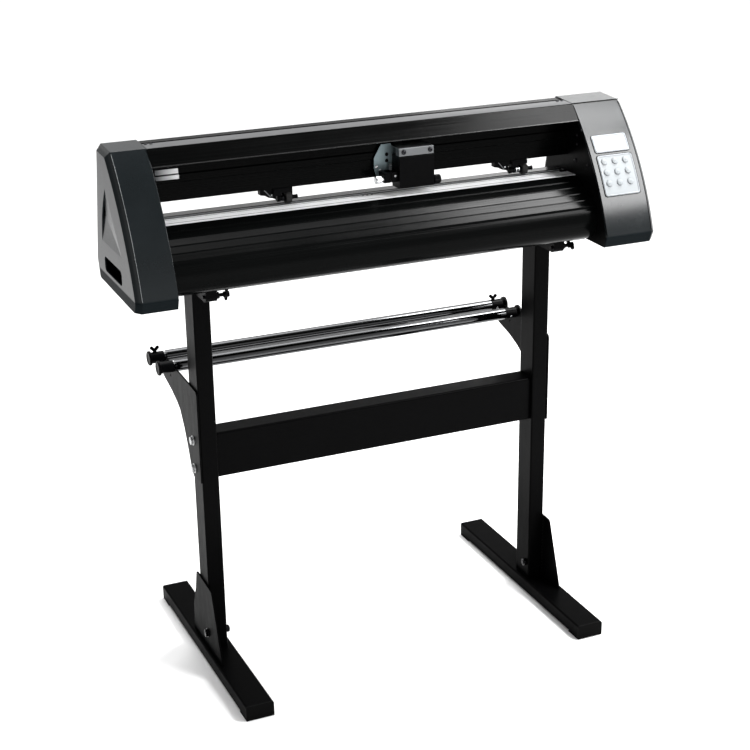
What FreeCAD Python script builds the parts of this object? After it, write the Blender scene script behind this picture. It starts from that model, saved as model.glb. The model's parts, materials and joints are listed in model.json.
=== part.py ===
import FreeCAD, Part
import math
import os

# Vinyl cutting plotter on a floor stand, in millimetres.
# +X runs along the machine to its right, +Y to its back and +Z up.
# The origin is on the floor, under the middle of the stand.

SIZES = {
    # Stand: side frames stand at plus and minus side_x.
    "side_x": 320.5,
    "foot_width": 50,
    "foot_height": 25,
    "foot_length": 472,
    "tube_wall": 2,
    "sole_height": 2,
    "cap_flange": 3,
    "cap_plug": 18,
    "sole_length": 32,
    "plug_gap": 0.2,
    "post_width": 30,
    "post_depth": 50,
    "post_y": -6,
    "post_top": 692,
    "crossbar_depth": 43,
    "crossbar_height": 83,
    "crossbar_base": 354,
    "crossbar_y": -1.5,
    "plate_thick": 3,
    "bolt_y": 2,
    "bolt_low": 368,
    "bolt_high": 420,
    "bolt_radius": 4,
    "bolt_hole": 4.3,
    "bolt_head": 6.5,
    "bolt_head_depth": 5,
    "gusset_bolt_y": -20,
    "gusset_bolt_z": 56,
    "arm_width": 20,
    "arm_height": 22,
    "arm_screw_y": -80,
    "arm_screw_z": 700.8,
    "arm_screw_radius": 3,
    "screw_gap": 0.3,
    "wing_reach": 21,
    "wing_thick": 3,
    # Roll holder.
    "roller_z": 525,
    "rear_roller_y": 151,
    "front_roller_y": 95,
    "roller_radius": 10.5,
    "journal_radius": 6,
    "notch_radius": 6.5,
    "collar_radius": 10.2,
    "disc_radius": 13,
    "collar_bore": 6.05,
    # Machine head.
    "head_end": 466,
    "throat_left": -399,
    "throat_right": 366.5,
    "cover_wall": 3,
    "cover_chamfer": 9,
    "bottom_chamfer": 1,
    "recess_depth": 3.2,
    "recess_scoop_radius": 430,
    "frame_gap": 0.3,
    "frame_thick": 3,
    "base_z": 714,
    "shaft_y": -15,
    "shaft_z": 813.9,
    "shaft_radius": 7.5,
    "shaft_journal": 5,
    "running_gap": 0.05,
    "gear_module": 1,
    "gear_teeth": 60,
    "pinion_teeth": 20,
    "gear_width": 11,
    "gear_backlash": 0.15,
    "gear_x": -416,
    "rocker_y": 54.6,
    "rocker_z": 760,
    "belt_y": -34,
    "belt_z": 922,
    "belt_width": 6,
    "belt_thick": 1.2,
    "pulley_radius": 5.5,
    "pulley_flange": 7.5,
    "drive_pulley_x": -428,
    "idler_pulley_x": 395,
    "shelf_z": 915,
    "carriage_motor_size": 42,
    "carriage_motor_height": 37.8,
    "feed_motor_size": 50,
    "feed_motor_length": 45,
    # Pinch rollers.
    "left_pinch_x": -157.5,
    "right_pinch_x": 285.3,
    "left_hub_reach": 19,
    "right_hub_reach": 29,
    "block_top": 849.6,
    "pinch_y": -16,
    "pinch_z": 831.2,
    "pinch_radius": 9.3,
    "pinch_length": 10.4,
    "pinch_pin": 2,
    "pivot_y": 6,
    "pivot_z": 836,
    "pivot_pin": 1.5,
    # Carriage at its stored place.
    "plate_front": -31,
    "tool_x": 13,
    "tool_y": -41,
    "tool_radius": 5.75,
    "knob_y": -51,
    "knob_z": 851.5,
    "clamp_low": 845.5,
    "clamp_height": 16.5,
    # Panel on the right cover.
    "panel_x": 412,
    "keys_x": 410,
    "overlay_thick": 1.2,
    "key_radius": 5.6,
    "key_gap": 0.3,
    "key_pitch": 20.9,
    "key_rise": 1.6,
}

doc = FreeCAD.newDocument("PrinterCutter")
sheet = doc.addObject("Spreadsheet::Sheet", "Dims")
for row, (alias, amount) in enumerate(SIZES.items(), start=1):
    sheet.set("A%d" % row, alias)
    sheet.set("B%d" % row, str(amount))
    sheet.setAlias("B%d" % row, alias)
doc.recompute()

X_AXIS = FreeCAD.Vector(1, 0, 0)
Y_AXIS = FreeCAD.Vector(0, 1, 0)
Z_AXIS = FreeCAD.Vector(0, 0, 1)

# Turns that lay a solid built along +Z onto another axis.
ALONG = {
    "X": FreeCAD.Rotation(Y_AXIS, 90),
    "Y": FreeCAD.Rotation(X_AXIS, -90),
    "Z": FreeCAD.Rotation(),
}

nodes = []


def size(alias):
    """A driving dimension, read from the sheet."""
    return float(sheet.get(alias))


# ---------------------------------------------------------------- helpers


def bind(obj, name, source):
    """Tie a property to an expression, or set it when the source is a number."""
    if isinstance(source, str):
        obj.setExpression(name, source)
        return
    obj.setExpression(name, "%.6f" % source)


def place(obj, at, turn=None):
    """Give an object its Placement; each coordinate is a number or an expression."""
    if turn is not None:
        obj.Placement = FreeCAD.Placement(FreeCAD.Vector(), turn)
    for axis, source in zip("xyz", at):
        bind(obj, "Placement.Base." + axis, source)


def keep(obj, label):
    """Name a finished sub-part and list it for export."""
    obj.Label = label
    nodes.append(obj)
    return obj


def flat(point):
    return FreeCAD.Vector(point[0], point[1], 0)


def round_corner(before, corner, after, radius):
    """Where a corner's arc starts and ends, and its middle."""
    if not radius:
        return corner, corner, None
    back = (before - corner).normalize()
    ahead = (after - corner).normalize()
    half = back.getAngle(ahead) / 2
    reach = radius / math.tan(half)
    middle = (back + ahead).normalize() * (radius / math.sin(half) - radius)
    return corner + back * reach, corner + ahead * reach, corner + middle


def outline_edges(points):
    """Lines and arcs of a closed outline.

    A point is (u, v), or (u, v, radius) for a rounded corner, or (u, v, "via")
    where the side through it is an arc.
    """
    corners = []
    for point in points:
        if len(point) == 3 and point[2] == "via":
            corners[-1]["via"] = flat(point)
        else:
            radius = point[2] if len(point) == 3 else 0
            corners.append({"at": flat(point), "radius": radius, "via": None})
    count = len(corners)
    for index, corner in enumerate(corners):
        before = corners[index - 1]["at"]
        after = corners[(index + 1) % count]["at"]
        corner["arc"] = round_corner(before, corner["at"], after, corner["radius"])
    edges = []
    for index, corner in enumerate(corners):
        start, end, middle = corner["arc"]
        following = corners[(index + 1) % count]["arc"][0]
        if middle is not None:
            edges.append(Part.ArcOfCircle(start, middle, end))
        if corner["via"] is not None:
            edges.append(Part.ArcOfCircle(end, corner["via"], following))
        else:
            edges.append(Part.LineSegment(end, following))
    return edges


def inset(points, amount):
    """The same outline, moved inward by an amount; the points run clockwise."""
    result = []
    count = len(points)
    for index, point in enumerate(points):
        here = flat(point)
        before = (here - flat(points[index - 1])).normalize()
        after = (flat(points[(index + 1) % count]) - here).normalize()
        inward = FreeCAD.Vector(before.y + after.y, -before.x - after.x, 0).normalize()
        spread = math.cos(before.getAngle(after) / 2)
        moved = here + inward * (amount / spread)
        extra = point[2:]
        if extra and extra[0] != "via":
            extra = (max(extra[0] - amount, 0.6),)
        result.append((moved.x, moved.y) + tuple(extra))
    return result


def rectangle(left, low, right, high, radius=0):
    """A rectangle's outline, with one radius at its corners."""
    return [(left, low, radius), (left, high, radius), (right, high, radius), (right, low, radius)]


def add_sketch(body, name, plane, outlines, circles=(), offset=0):
    """A sketch on one of the body's own origin planes."""
    support = next(item for item in body.Origin.OriginFeatures if item.Role == plane + "_Plane")
    sketch = body.newObject("Sketcher::SketchObject", name)
    sketch.AttachmentSupport = [(support, "")]
    sketch.MapMode = "FlatFace"
    bind(sketch, "AttachmentOffset.Base.z", offset)
    for outline in outlines:
        for edge in outline_edges(outline):
            sketch.addGeometry(edge, False)
    for across, up, radius in circles:
        sketch.addGeometry(Part.Circle(FreeCAD.Vector(across, up, 0), Z_AXIS, radius), False)
    return sketch


def add_pad(body, name, sketch, length, reverse=False, middle=False):
    pad = body.newObject("PartDesign::Pad", name)
    pad.Profile = sketch
    bind(pad, "Length", length)
    pad.Reversed = reverse
    pad.Midplane = middle
    return pad


def add_pocket(body, name, sketch, length, reverse=False, middle=False):
    pocket = body.newObject("PartDesign::Pocket", name)
    pocket.Profile = sketch
    bind(pocket, "Length", length)
    pocket.Reversed = reverse
    pocket.Midplane = middle
    return pocket


def extruded(name, plane, outlines, length, at, circles=(), reverse=False, middle=False, turn=None):
    """A body padded from one sketch: outlines after the first are holes."""
    body = doc.addObject("PartDesign::Body", name)
    sketch = add_sketch(body, name + "_outline", plane, outlines, circles)
    add_pad(body, name + "_pad", sketch, length, reverse, middle)
    place(body, at, turn)
    return body


def turned(name, outline, axis, at):
    """A body turned about its own Z axis from a half section, then laid along an axis."""
    body = doc.addObject("PartDesign::Body", name)
    sketch = add_sketch(body, name + "_section", "XZ", [outline])
    revolution = body.newObject("PartDesign::Revolution", name + "_turn")
    revolution.Profile = sketch
    revolution.ReferenceAxis = (sketch, ["V_Axis"])
    revolution.Angle = 360
    place(body, at, ALONG[axis])
    return body


def block(name, extent, corner):
    box = doc.addObject("Part::Box", name)
    for side, source in zip(("Length", "Width", "Height"), extent):
        bind(box, side, source)
    place(box, corner)
    return box


def rod(name, radius, length, at, axis="Z", turn=None):
    """A cylinder that starts at a point and runs along an axis."""
    cylinder = doc.addObject("Part::Cylinder", name)
    bind(cylinder, "Radius", radius)
    bind(cylinder, "Height", length)
    place(cylinder, at, turn or ALONG[axis])
    return cylinder


def hexagon(name, radius, length, at, axis):
    prism = doc.addObject("Part::Prism", name)
    prism.Polygon = 6
    bind(prism, "Circumradius", radius)
    bind(prism, "Height", length)
    place(prism, at, ALONG[axis])
    return prism


def joined(name, pieces):
    fuse = doc.addObject("Part::MultiFuse", name)
    fuse.Shapes = pieces
    fuse.Refine = True
    return fuse


def carved(name, base, tools):
    tool = tools[0] if len(tools) == 1 else joined(name + "_tools", tools)
    cut = doc.addObject("Part::Cut", name)
    cut.Base = base
    cut.Tool = tool
    cut.Refine = True
    return cut


def grouped(name, pieces):
    compound = doc.addObject("Part::Compound", name)
    compound.Links = pieces
    return compound


def side_word(side):
    return "left" if side < 0 else "right"


def outer_x(side, inner):
    """Start of a plate whose inner face is at a distance from the middle plane."""
    return inner if side > 0 else -inner - size("plate_thick")


# ---------------------------------------------------------------- stand


def make_foot(side):
    """Rectangular floor tube, open at both ends for its caps."""
    half_width = size("foot_width") / 2
    half_height = size("foot_height") / 2
    wall = size("tube_wall")
    outer = rectangle(-half_width, -half_height, half_width, half_height, 3)
    inner = inset(outer, wall)
    name = side_word(side) + "_foot"
    at = ("%d * Dims.side_x" % side, 0, "Dims.sole_height + Dims.foot_height / 2")
    return keep(extruded(name, "XZ", [outer, inner], "Dims.foot_length", at, middle=True), name)


def make_foot_cap(side, end):
    """Moulded end cap: flange, plug inside the tube, and a sole that stands on the floor."""
    name = "foot_cap_%s_%s" % (side_word(side), "front" if end < 0 else "back")
    half_width = size("foot_width") / 2
    height = size("foot_height")
    base = size("sole_height")
    flange_profile = rectangle(-half_width, 0, half_width, base + height, 3)
    reach = size("tube_wall") + size("plug_gap")
    plug_profile = rectangle(-half_width + reach, base + reach, half_width - reach, base + height - reach, 1)
    sole_profile = rectangle(-half_width, 0, half_width, base, 0.5)
    body = doc.addObject("PartDesign::Body", name)
    inward = end > 0
    flange = add_sketch(body, name + "_flange", "XZ", [flange_profile])
    add_pad(body, name + "_flange_pad", flange, "Dims.cap_flange", reverse=not inward)
    plug = add_sketch(body, name + "_plug", "XZ", [plug_profile])
    add_pad(body, name + "_plug_pad", plug, "Dims.cap_flange + Dims.cap_plug", reverse=not inward)
    sole = add_sketch(body, name + "_sole", "XZ", [sole_profile])
    add_pad(body, name + "_sole_pad", sole, "Dims.cap_flange + Dims.sole_length", reverse=not inward)
    at = ("%d * Dims.side_x" % side, "%d * (Dims.foot_length / 2 + Dims.cap_flange)" % end, 0)
    place(body, at)
    return body


def make_gusset(side):
    """Triangular foot plate welded to the outside of the post."""
    outline = [(29, 156, 4), (39, 118), (56, 77), (58, 44), (60, 27), (-96, 27), (-90, 45), (-52, 152, 6)]
    hole = (size("gusset_bolt_y"), size("gusset_bolt_z"), size("bolt_hole"))
    inner = size("side_x") + size("post_width") / 2
    at = (outer_x(side, inner), 0, 0)
    return extruded(side_word(side) + "_gusset", "YZ", [outline], "Dims.plate_thick", at, [hole])


def make_post(side):
    """Upright tube with the welded gusset below and the welded machine arm on top."""
    word = side_word(side)
    half_width = size("post_width") / 2
    half_depth = size("post_depth") / 2
    outer = rectangle(-half_width, -half_depth, half_width, half_depth, 3)
    inner = inset(outer, size("tube_wall"))
    floor = size("sole_height") + size("foot_height")
    side_at = "%d * Dims.side_x" % side
    tube = extruded(
        word + "_tube", "XY", [outer, inner], size("post_top") - floor, (side_at, "Dims.post_y", floor)
    )
    closing_plate = block(
        word + "_closing_plate",
        ("Dims.post_width - 2", "Dims.post_depth - 2", "Dims.tube_wall"),
        (
            side_at + " - Dims.post_width / 2 + 1",
            "Dims.post_y - Dims.post_depth / 2 + 1",
            "Dims.post_top - Dims.tube_wall",
        ),
    )
    low = size("post_top")
    high = low + size("arm_height")
    arm_outline = [(-88, high), (50, high), (50, low, 4), (-88, low, 8)]
    arm = extruded(
        word + "_arm", "YZ", [arm_outline], "Dims.arm_width", (side_at + " - Dims.arm_width / 2", 0, 0)
    )
    hollow = rectangle(-84, low - 1, -36, high - 2.5)
    arm_hollow = add_sketch(arm, word + "_arm_hollow", "YZ", [hollow], offset=2)
    add_pocket(arm, word + "_arm_channel", arm_hollow, "Dims.arm_width - 4", reverse=True)
    screw_hole = rod(
        word + "_arm_screw_hole",
        "Dims.arm_screw_radius + Dims.running_gap",
        "Dims.arm_width + 20",
        (side_at + " - Dims.arm_width / 2 - 10", "Dims.arm_screw_y", "Dims.arm_screw_z"),
        "X",
    )
    holes = [screw_hole]
    for level in ("bolt_low", "bolt_high"):
        holes.append(
            rod(
                word + "_post_hole_" + level,
                "Dims.bolt_hole",
                "Dims.post_width + 10",
                (side_at + " - Dims.post_width / 2 - 5", "Dims.bolt_y", "Dims." + level),
                "X",
            )
        )
    holes.append(
        rod(
            word + "_post_hole_gusset",
            "Dims.bolt_hole",
            "Dims.post_width + 10",
            (side_at + " - Dims.post_width / 2 - 5", "Dims.gusset_bolt_y", "Dims.gusset_bolt_z"),
            "X",
        )
    )
    welded = joined(word + "_post_welded", [tube, closing_plate, arm, make_gusset(side)])
    return keep(carved(word + "_post", welded, holes), word + "_post")


def make_crossbar():
    """Rectangular tube between the posts, with end plates that the bolts pull on."""
    half_depth = size("crossbar_depth") / 2
    half_height = size("crossbar_height") / 2
    half_length = size("side_x") - size("post_width") / 2
    outer = rectangle(-half_depth, -half_height, half_depth, half_height, 4)
    inner = inset(outer, size("tube_wall"))
    middle_z = "Dims.crossbar_base + Dims.crossbar_height / 2"
    tube = extruded(
        "crossbar_tube", "YZ", [outer, inner], 2 * half_length, (-half_length, "Dims.crossbar_y", middle_z)
    )
    pieces = [tube]
    for side in (-1, 1):
        start = half_length - size("plate_thick") if side > 0 else -half_length
        circles = [
            (size("bolt_y"), size("bolt_low"), size("bolt_hole")),
            (size("bolt_y"), size("bolt_high"), size("bolt_hole")),
        ]
        low = size("crossbar_base") + 1
        high = size("crossbar_base") + size("crossbar_height") - 1
        front = size("crossbar_y") - half_depth + 1
        back = size("crossbar_y") + half_depth - 1
        plate_outline = rectangle(front, low, back, high, 3)
        name = "crossbar_end_" + side_word(side)
        pieces.append(extruded(name, "YZ", [plate_outline], "Dims.plate_thick", (start, 0, 0), circles))
    return keep(joined("crossbar", pieces), "crossbar")


def make_roll_arm(side):
    """Flat plate that holds the roll holder, with a cradle notch for each roller."""
    word = side_word(side)
    outline = [
        (-31, 351, 3), (-31, 519, 8), (169, 526, 5), (162, 486), (116, 474), (85, 462),
        (70, 453), (51, 427), (35, 397), (22, 366), (10, 351),
    ]
    circles = [
        (size("bolt_y"), size("bolt_low"), size("bolt_hole")),
        (size("bolt_y"), size("bolt_high"), size("bolt_hole")),
        (115, 501, 2.5),
    ]
    inner = size("side_x") + size("post_width") / 2
    name = word + "_roll_arm"
    at = (outer_x(side, inner), 0, 0)
    body = extruded(name, "YZ", [outline], "Dims.plate_thick", at, circles)
    notches = [
        notch_outline(size("front_roller_y")),
        notch_outline(size("rear_roller_y")),
    ]
    sketch = add_sketch(body, name + "_notches", "YZ", notches)
    add_pocket(body, name + "_cradles", sketch, "Dims.plate_thick", reverse=True)
    return keep(body, name)


def notch_outline(roller_y):
    """Open-topped cradle: a half round under straight sides."""
    radius = size("notch_radius")
    level = size("roller_z")
    top = level + 15
    return [
        (roller_y - radius, top),
        (roller_y + radius, top),
        (roller_y + radius, level),
        (roller_y, level - radius, "via"),
        (roller_y - radius, level),
    ]


def hex_bolt(name, side, across, up, inner_end):
    """Bolt from outside the roll arm or gusset plate, with its nut inside."""
    face = size("side_x") + size("post_width") / 2 + size("plate_thick")
    head = size("bolt_head_depth")
    start = face if side > 0 else -face - head
    head_piece = hexagon(name + "_head", "Dims.bolt_head * 1.155", head, (start, across, up), "X")
    washer_start = face if side > 0 else -face - 1
    washer = rod(name + "_washer", "Dims.bolt_head * 1.3", 1, (washer_start, across, up), "X")
    length = face - inner_end
    shank_start = inner_end if side > 0 else -face
    shank = rod(name + "_shank", "Dims.bolt_radius", length, (shank_start, across, up), "X")
    bolt = joined(name, [head_piece, washer, shank])
    nut_depth = 6
    nut_start = inner_end + 1.5 if side > 0 else -inner_end - 1.5 - nut_depth
    nut_body = hexagon(name + "_nut_body", "Dims.bolt_head * 1.155", nut_depth, (nut_start, across, up), "X")
    nut_bore = rod(
        name + "_nut_bore", "Dims.bolt_radius + Dims.running_gap", nut_depth + 2, (nut_start - 1, across, up), "X"
    )
    return [bolt, carved(name + "_nut", nut_body, [nut_bore])]


def make_stand_bolts():
    pieces = []
    crossbar_end = size("side_x") - size("post_width") / 2 - size("plate_thick")
    post_inner = size("side_x") - size("post_width") / 2
    for side in (-1, 1):
        word = side_word(side)
        for level in ("bolt_low", "bolt_high"):
            name = "%s_%s" % (word, level)
            pieces += hex_bolt(name, side, size("bolt_y"), size(level), crossbar_end - 7.5)
        pieces += hex_bolt(
            word + "_gusset_bolt", side, size("gusset_bolt_y"), size("gusset_bolt_z"), post_inner - 7.5
        )
    return keep(grouped("stand_bolts", pieces), "stand_bolts")


def make_clamp_screw(side):
    """Wing screw through the machine arm: a collar against the arm, then a hub with two ears."""
    name = side_word(side) + "_clamp_screw"
    arm_face = side * size("side_x") + size("arm_width") / 2
    gap = size("screw_gap")
    at_yz = ("Dims.arm_screw_y", "Dims.arm_screw_z")
    shank_start = arm_face - size("arm_width") - 3
    shank_length = size("arm_width") + 3 + size("wing_reach")
    shank = rod(name + "_shank", "Dims.arm_screw_radius", shank_length, (shank_start,) + at_yz, "X")
    nut = hexagon(name + "_collar", 6, 4.5, (arm_face + gap,) + at_yz, "X")
    hub = rod(name + "_hub", 5, 9, (arm_face + size("wing_reach") - 8,) + at_yz, "X")
    stored_turn = -75 if side < 0 else 8
    ears = []
    for turn, tag in ((0, "first"), (180, "second")):
        ear_outline = [(3, -3.5), (3, 3.5), (8.5, 6.2, 2), (12.2, 2.2, 1.6), (10.8, -2.6, 2)]
        ear = extruded(
            name + "_ear_" + tag, "YZ", [ear_outline], "Dims.wing_thick",
            (arm_face + size("wing_reach") - 5,) + at_yz,
            turn=FreeCAD.Rotation(X_AXIS, stored_turn + turn),
        )
        ears.append(ear)
    return keep(joined(name, [shank, nut, hub] + ears), name)


# ---------------------------------------------------------------- roll holder


def make_roller(name, roller_y):
    """Chromed tube with a turned journal at each end."""
    left = -(size("side_x") + size("post_width") / 2) + 0.5
    right = 311
    far_left = -367
    far_right = 343.5
    radius = size("roller_radius")
    journal = size("journal_radius")
    outline = [
        (0, far_left), (journal, far_left), (journal, left), (radius, left), (radius, right),
        (journal, right), (journal, far_right), (0, far_right),
    ]
    return keep(turned(name, outline, "X", (0, roller_y, "Dims.roller_z")), name)


def collar(name, roller_y, start, end, radius):
    """Plain ring on the journal."""
    bore = size("collar_bore")
    outline = [(bore, start), (radius, start, 0.5), (radius, end, 0.5), (bore, end)]
    return turned(name, outline, "X", (0, roller_y, "Dims.roller_z"))


def make_roller_fittings(name, roller_y, has_screws):
    """Sleeve and disc outside the left arm, collar and disc about the right arm."""
    sleeve_radius = size("collar_radius")
    disc = size("disc_radius")
    bore = size("collar_bore")
    sleeve_outline = [
        (bore, -367), (disc, -367, 0.8), (disc, -363, 0.8), (sleeve_radius, -363),
        (sleeve_radius, -339.2, 0.5), (bore, -339.2),
    ]
    axis_at = (0, roller_y, "Dims.roller_z")
    sleeve = turned(name + "_sleeve", sleeve_outline, "X", axis_at)
    inner_collar = collar(name + "_collar", roller_y, 311.2, 335, sleeve_radius)
    outer_disc = collar(name + "_disc", roller_y, 339.2, 343.2, disc)
    if has_screws:
        sleeve = carved(name + "_sleeve_tapped", sleeve, [screw_bore(name + "_left_bore", roller_y, -355)])
        inner_collar = carved(
            name + "_collar_tapped", inner_collar, [screw_bore(name + "_right_bore", roller_y, 317)]
        )
    return keep(grouped(name, [sleeve, inner_collar, outer_disc]), name)


def screw_bore(name, roller_y, along):
    return rod(name, 2.05, 12, (along, roller_y, "Dims.roller_z + Dims.journal_radius - 2"))


def make_wing_screws():
    """Wing screws that pinch the rear roller's sleeve and collar onto its journal."""
    pieces = []
    for along, tag in ((-355, "left"), (317, "right")):
        name = "rear_wing_screw_" + tag
        base = size("roller_z") + size("journal_radius") + 0.1
        shank = rod(name + "_shank", 2, 6, (along, "Dims.rear_roller_y", base))
        hub = rod(name + "_hub", 3.4, 4, (along, "Dims.rear_roller_y", base + 4.6))
        wing_profile = [
            (-2.6, 7, 0.5), (-8.5, 12, 2), (-7.5, 16.5, 2), (-3.2, 16, 1.2), (0, 11.5, 1.5),
            (3.2, 16, 1.2), (7.5, 16.5, 2), (8.5, 12, 2), (2.6, 7, 0.5),
        ]
        wings = extruded(
            name + "_wings", "XZ", [wing_profile], 2, (along, "Dims.rear_roller_y", base - 1), middle=True
        )
        pieces.append(joined(name, [shank, hub, wings]))
    return keep(grouped("rear_wing_screws", pieces), "rear_wing_screws")


# ---------------------------------------------------------------- machine shells

COVER_OUTLINE = [
    (-164, 714.4, 4), (-170.85, 732.7, 1.5), (-111, 857, "via"), (-39, 943, 2), (19, 946, 3), (26, 911),
    (47, 826), (66, 749, 6), (56, 717, 6),
]

# Front face of both covers: an arc through three points of the outline.
FRONT_ARC = Part.ArcOfCircle(flat((-170.85, 732.7)), flat((-111, 857)), flat((-39, 943)))
FRONT_CENTRE = FRONT_ARC.Center
FRONT_RADIUS = FRONT_ARC.Radius


def front_point(height, above=0):
    """A point of the covers' front face at a height, moved out along the surface's normal."""
    rise = height - FRONT_CENTRE.y
    flat_reach = math.sqrt(FRONT_RADIUS ** 2 - rise ** 2)
    scale = (FRONT_RADIUS + above) / FRONT_RADIUS
    return FRONT_CENTRE.x - flat_reach * scale, FRONT_CENTRE.y + rise * scale


def front_turn(height):
    """Rotation that lays +Z along the front face's outward normal at a height."""
    out_y, out_z = front_point(height, 1)
    on_y, on_z = front_point(height)
    return FreeCAD.Rotation(Z_AXIS, FreeCAD.Vector(0, out_y - on_y, out_z - on_z))


def end_face_outline():
    """The cover's end face: set in along its front, top and rear, and hardly at all underneath."""
    bevel = size("cover_chamfer")
    edge = size("bottom_chamfer")
    points = inset(COVER_OUTLINE, bevel)
    low_front, front, rear_low = COVER_OUTLINE[0], COVER_OUTLINE[1], COVER_OUTLINE[-1]
    points[0] = (low_front[0] + bevel, low_front[1] + edge, low_front[2])
    points[1] = (front[0] + bevel, front[1] - edge, front[2])
    points[-1] = (rear_low[0] - bevel, rear_low[1] + edge, rear_low[2])
    return points


def recess_scoop(name, side):
    """Sail-shaped recess of the cover's side: flush along its front and foot, deepest at its rear edge."""
    face = size("head_end")
    radius = size("recess_scoop_radius")
    depth = size("recess_depth")
    apex = FreeCAD.Vector(0, -24, 883)
    foot_front = FreeCAD.Vector(0, -102, 784.6)
    foot = 789
    outline = [(apex.y, apex.z, 0.8), (4, 836, "via"), (17, 780, 0.8), (foot_front.y, foot_front.z, 0.8)]
    sail = extruded(name + "_sail", "YZ", [outline], 12, ("%d * (Dims.head_end - 6) - 6" % side, 0, 0))
    along = (apex - foot_front).normalize()
    slope = math.acos(1 - depth / radius)
    rearward = FreeCAD.Vector(0, along.z, -along.y)
    outward = FreeCAD.Vector(side, 0, 0)
    middle = foot_front + rearward * (radius * math.sin(slope))
    lift = radius * math.cos(slope)
    front_axis = middle + outward * (face + lift) - along * 60
    front_scoop = doc.addObject("Part::Cylinder", name + "_front_scoop")
    bind(front_scoop, "Radius", "Dims.recess_scoop_radius")
    front_scoop.Height = 260
    front_scoop.Placement = FreeCAD.Placement(front_axis, FreeCAD.Rotation(Z_AXIS, along))
    foot_z = foot + radius * math.sin(slope)
    foot_axis = FreeCAD.Vector(side * (face + lift), -140, foot_z)
    foot_scoop = doc.addObject("Part::Cylinder", name + "_foot_scoop")
    bind(foot_scoop, "Radius", "Dims.recess_scoop_radius")
    foot_scoop.Height = 260
    foot_scoop.Placement = FreeCAD.Placement(foot_axis, ALONG["Y"])
    common = doc.addObject("Part::MultiCommon", name)
    common.Shapes = [sail, front_scoop, foot_scoop]
    return common


def make_cover(side, throat):
    """Moulded end cover, open towards the throat, with a hand grip and a dished side."""
    word = side_word(side)
    name = word + "_cover"
    width = size("head_end") - abs(throat)
    body = doc.addObject("PartDesign::Body", name + "_shell")
    inward = -side
    reverse = inward < 0
    wall = size("cover_wall")
    bevel = size("cover_chamfer")
    end_face = add_sketch(body, name + "_end_face", "YZ", [end_face_outline()])
    full = add_sketch(body, name + "_outline", "YZ", [COVER_OUTLINE], offset=inward * bevel)
    loft = body.newObject("PartDesign::AdditiveLoft", name + "_bevel")
    loft.Profile = end_face
    loft.Sections = [full]
    loft.Ruled = True
    add_pad(body, name + "_pad", full, width - bevel, reverse=reverse)
    place(body, ("%d * Dims.head_end" % side, 0, 0))
    # Two hollows keep a wall behind the bevel: a wide one up to it and a narrower one past it.
    wide = add_sketch(body, name + "_wide_hollow", "YZ", [inset(COVER_OUTLINE, wall)], offset=inward * bevel)
    add_pocket(body, name + "_hollow", wide, width, reverse=not reverse)
    narrow = add_sketch(body, name + "_end_hollow", "YZ", [inset(COVER_OUTLINE, bevel)], offset=inward * wall)
    add_pocket(body, name + "_end", narrow, width, reverse=not reverse)
    boss_outline = [(-109, 792, 3), (-26, 895, 4), (24, 775, 4)]
    boss = add_sketch(body, name + "_boss_outline", "YZ", [boss_outline], offset=inward * (wall - 0.5))
    add_pad(body, name + "_boss", boss, 8, reverse=reverse)
    grip = add_sketch(body, name + "_grip_outline", "YZ", [rectangle(-91, 740, 10, 765, 8)])
    add_pocket(body, name + "_grip", grip, 12, reverse=not reverse)
    return body


def key_heights():
    return (852, 835.4, 818.6)


def key_columns():
    pitch = size("key_pitch")
    return (size("keys_x") - pitch, size("keys_x"), size("keys_x") + pitch)


def key_holes(name):
    """Radial clearance holes for the nine keys."""
    holes = []
    for row, height in enumerate(key_heights(), start=1):
        low_y, low_z = front_point(height, -12)
        for column, across in enumerate(key_columns(), start=1):
            holes.append(
                rod(
                    "%s_%d%d" % (name, row, column),
                    "Dims.key_radius + Dims.key_gap",
                    20,
                    (across, low_y, low_z),
                    turn=front_turn(height),
                )
            )
    return holes


def make_left_cover():
    shell = make_cover(-1, size("throat_left"))
    return keep(carved("left_cover", shell, [recess_scoop("left_recess", -1)]), "left_cover")


def make_right_cover():
    shell = make_cover(1, size("throat_right"))
    tools = [recess_scoop("right_recess", 1)] + key_holes("cover_key_hole")
    return keep(carved("right_cover", shell, tools), "right_cover")


def panel_sheet(name, low, high, half_width, radius, thick):
    """Thin curved sheet on the right cover's front face, cut to a rounded rectangle."""
    gap = 0.05
    ring_outline = [
        front_point(low - 8, gap),
        front_point((low + high) / 2, gap) + ("via",),
        front_point(high + 8, gap),
        front_point(high + 8, gap + thick),
        front_point((low + high) / 2, gap + thick) + ("via",),
        front_point(low - 8, gap + thick),
    ]
    width = 2 * half_width
    band = extruded(
        name + "_band", "YZ", [ring_outline], width + 10, (size("panel_x") - half_width - 5, 0, 0)
    )
    middle = (low + high) / 2
    low_y, low_z = front_point(low)
    high_y, high_z = front_point(high)
    half_height = math.hypot(high_y - low_y, high_z - low_z) / 2
    base_y, base_z = front_point(middle, -10)
    cutter = extruded(
        name + "_cutter", "XY", [rectangle(-half_width, -half_height, half_width, half_height, radius)], 25,
        (size("panel_x"), base_y, base_z), turn=front_turn(middle),
    )
    common = doc.addObject("Part::MultiCommon", name + "_sheet")
    common.Shapes = [band, cutter]
    return common


def make_display_window():
    return keep(panel_sheet("display_window", 866.5, 892.5, 34, 3, size("overlay_thick")), "display_window")


def make_keypad_overlay():
    sheet_piece = panel_sheet("keypad_sheet", 799.5, 862.5, 34.6, 5, size("overlay_thick"))
    return keep(carved("keypad_overlay", sheet_piece, key_holes("overlay_key_hole")), "keypad_overlay")


KEY_NAMES = (
    ("menu_key", "up_key", "set_origin_key"),
    ("left_key", "test_key", "right_key"),
    ("pause_key", "down_key", "enter_key"),
)


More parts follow.
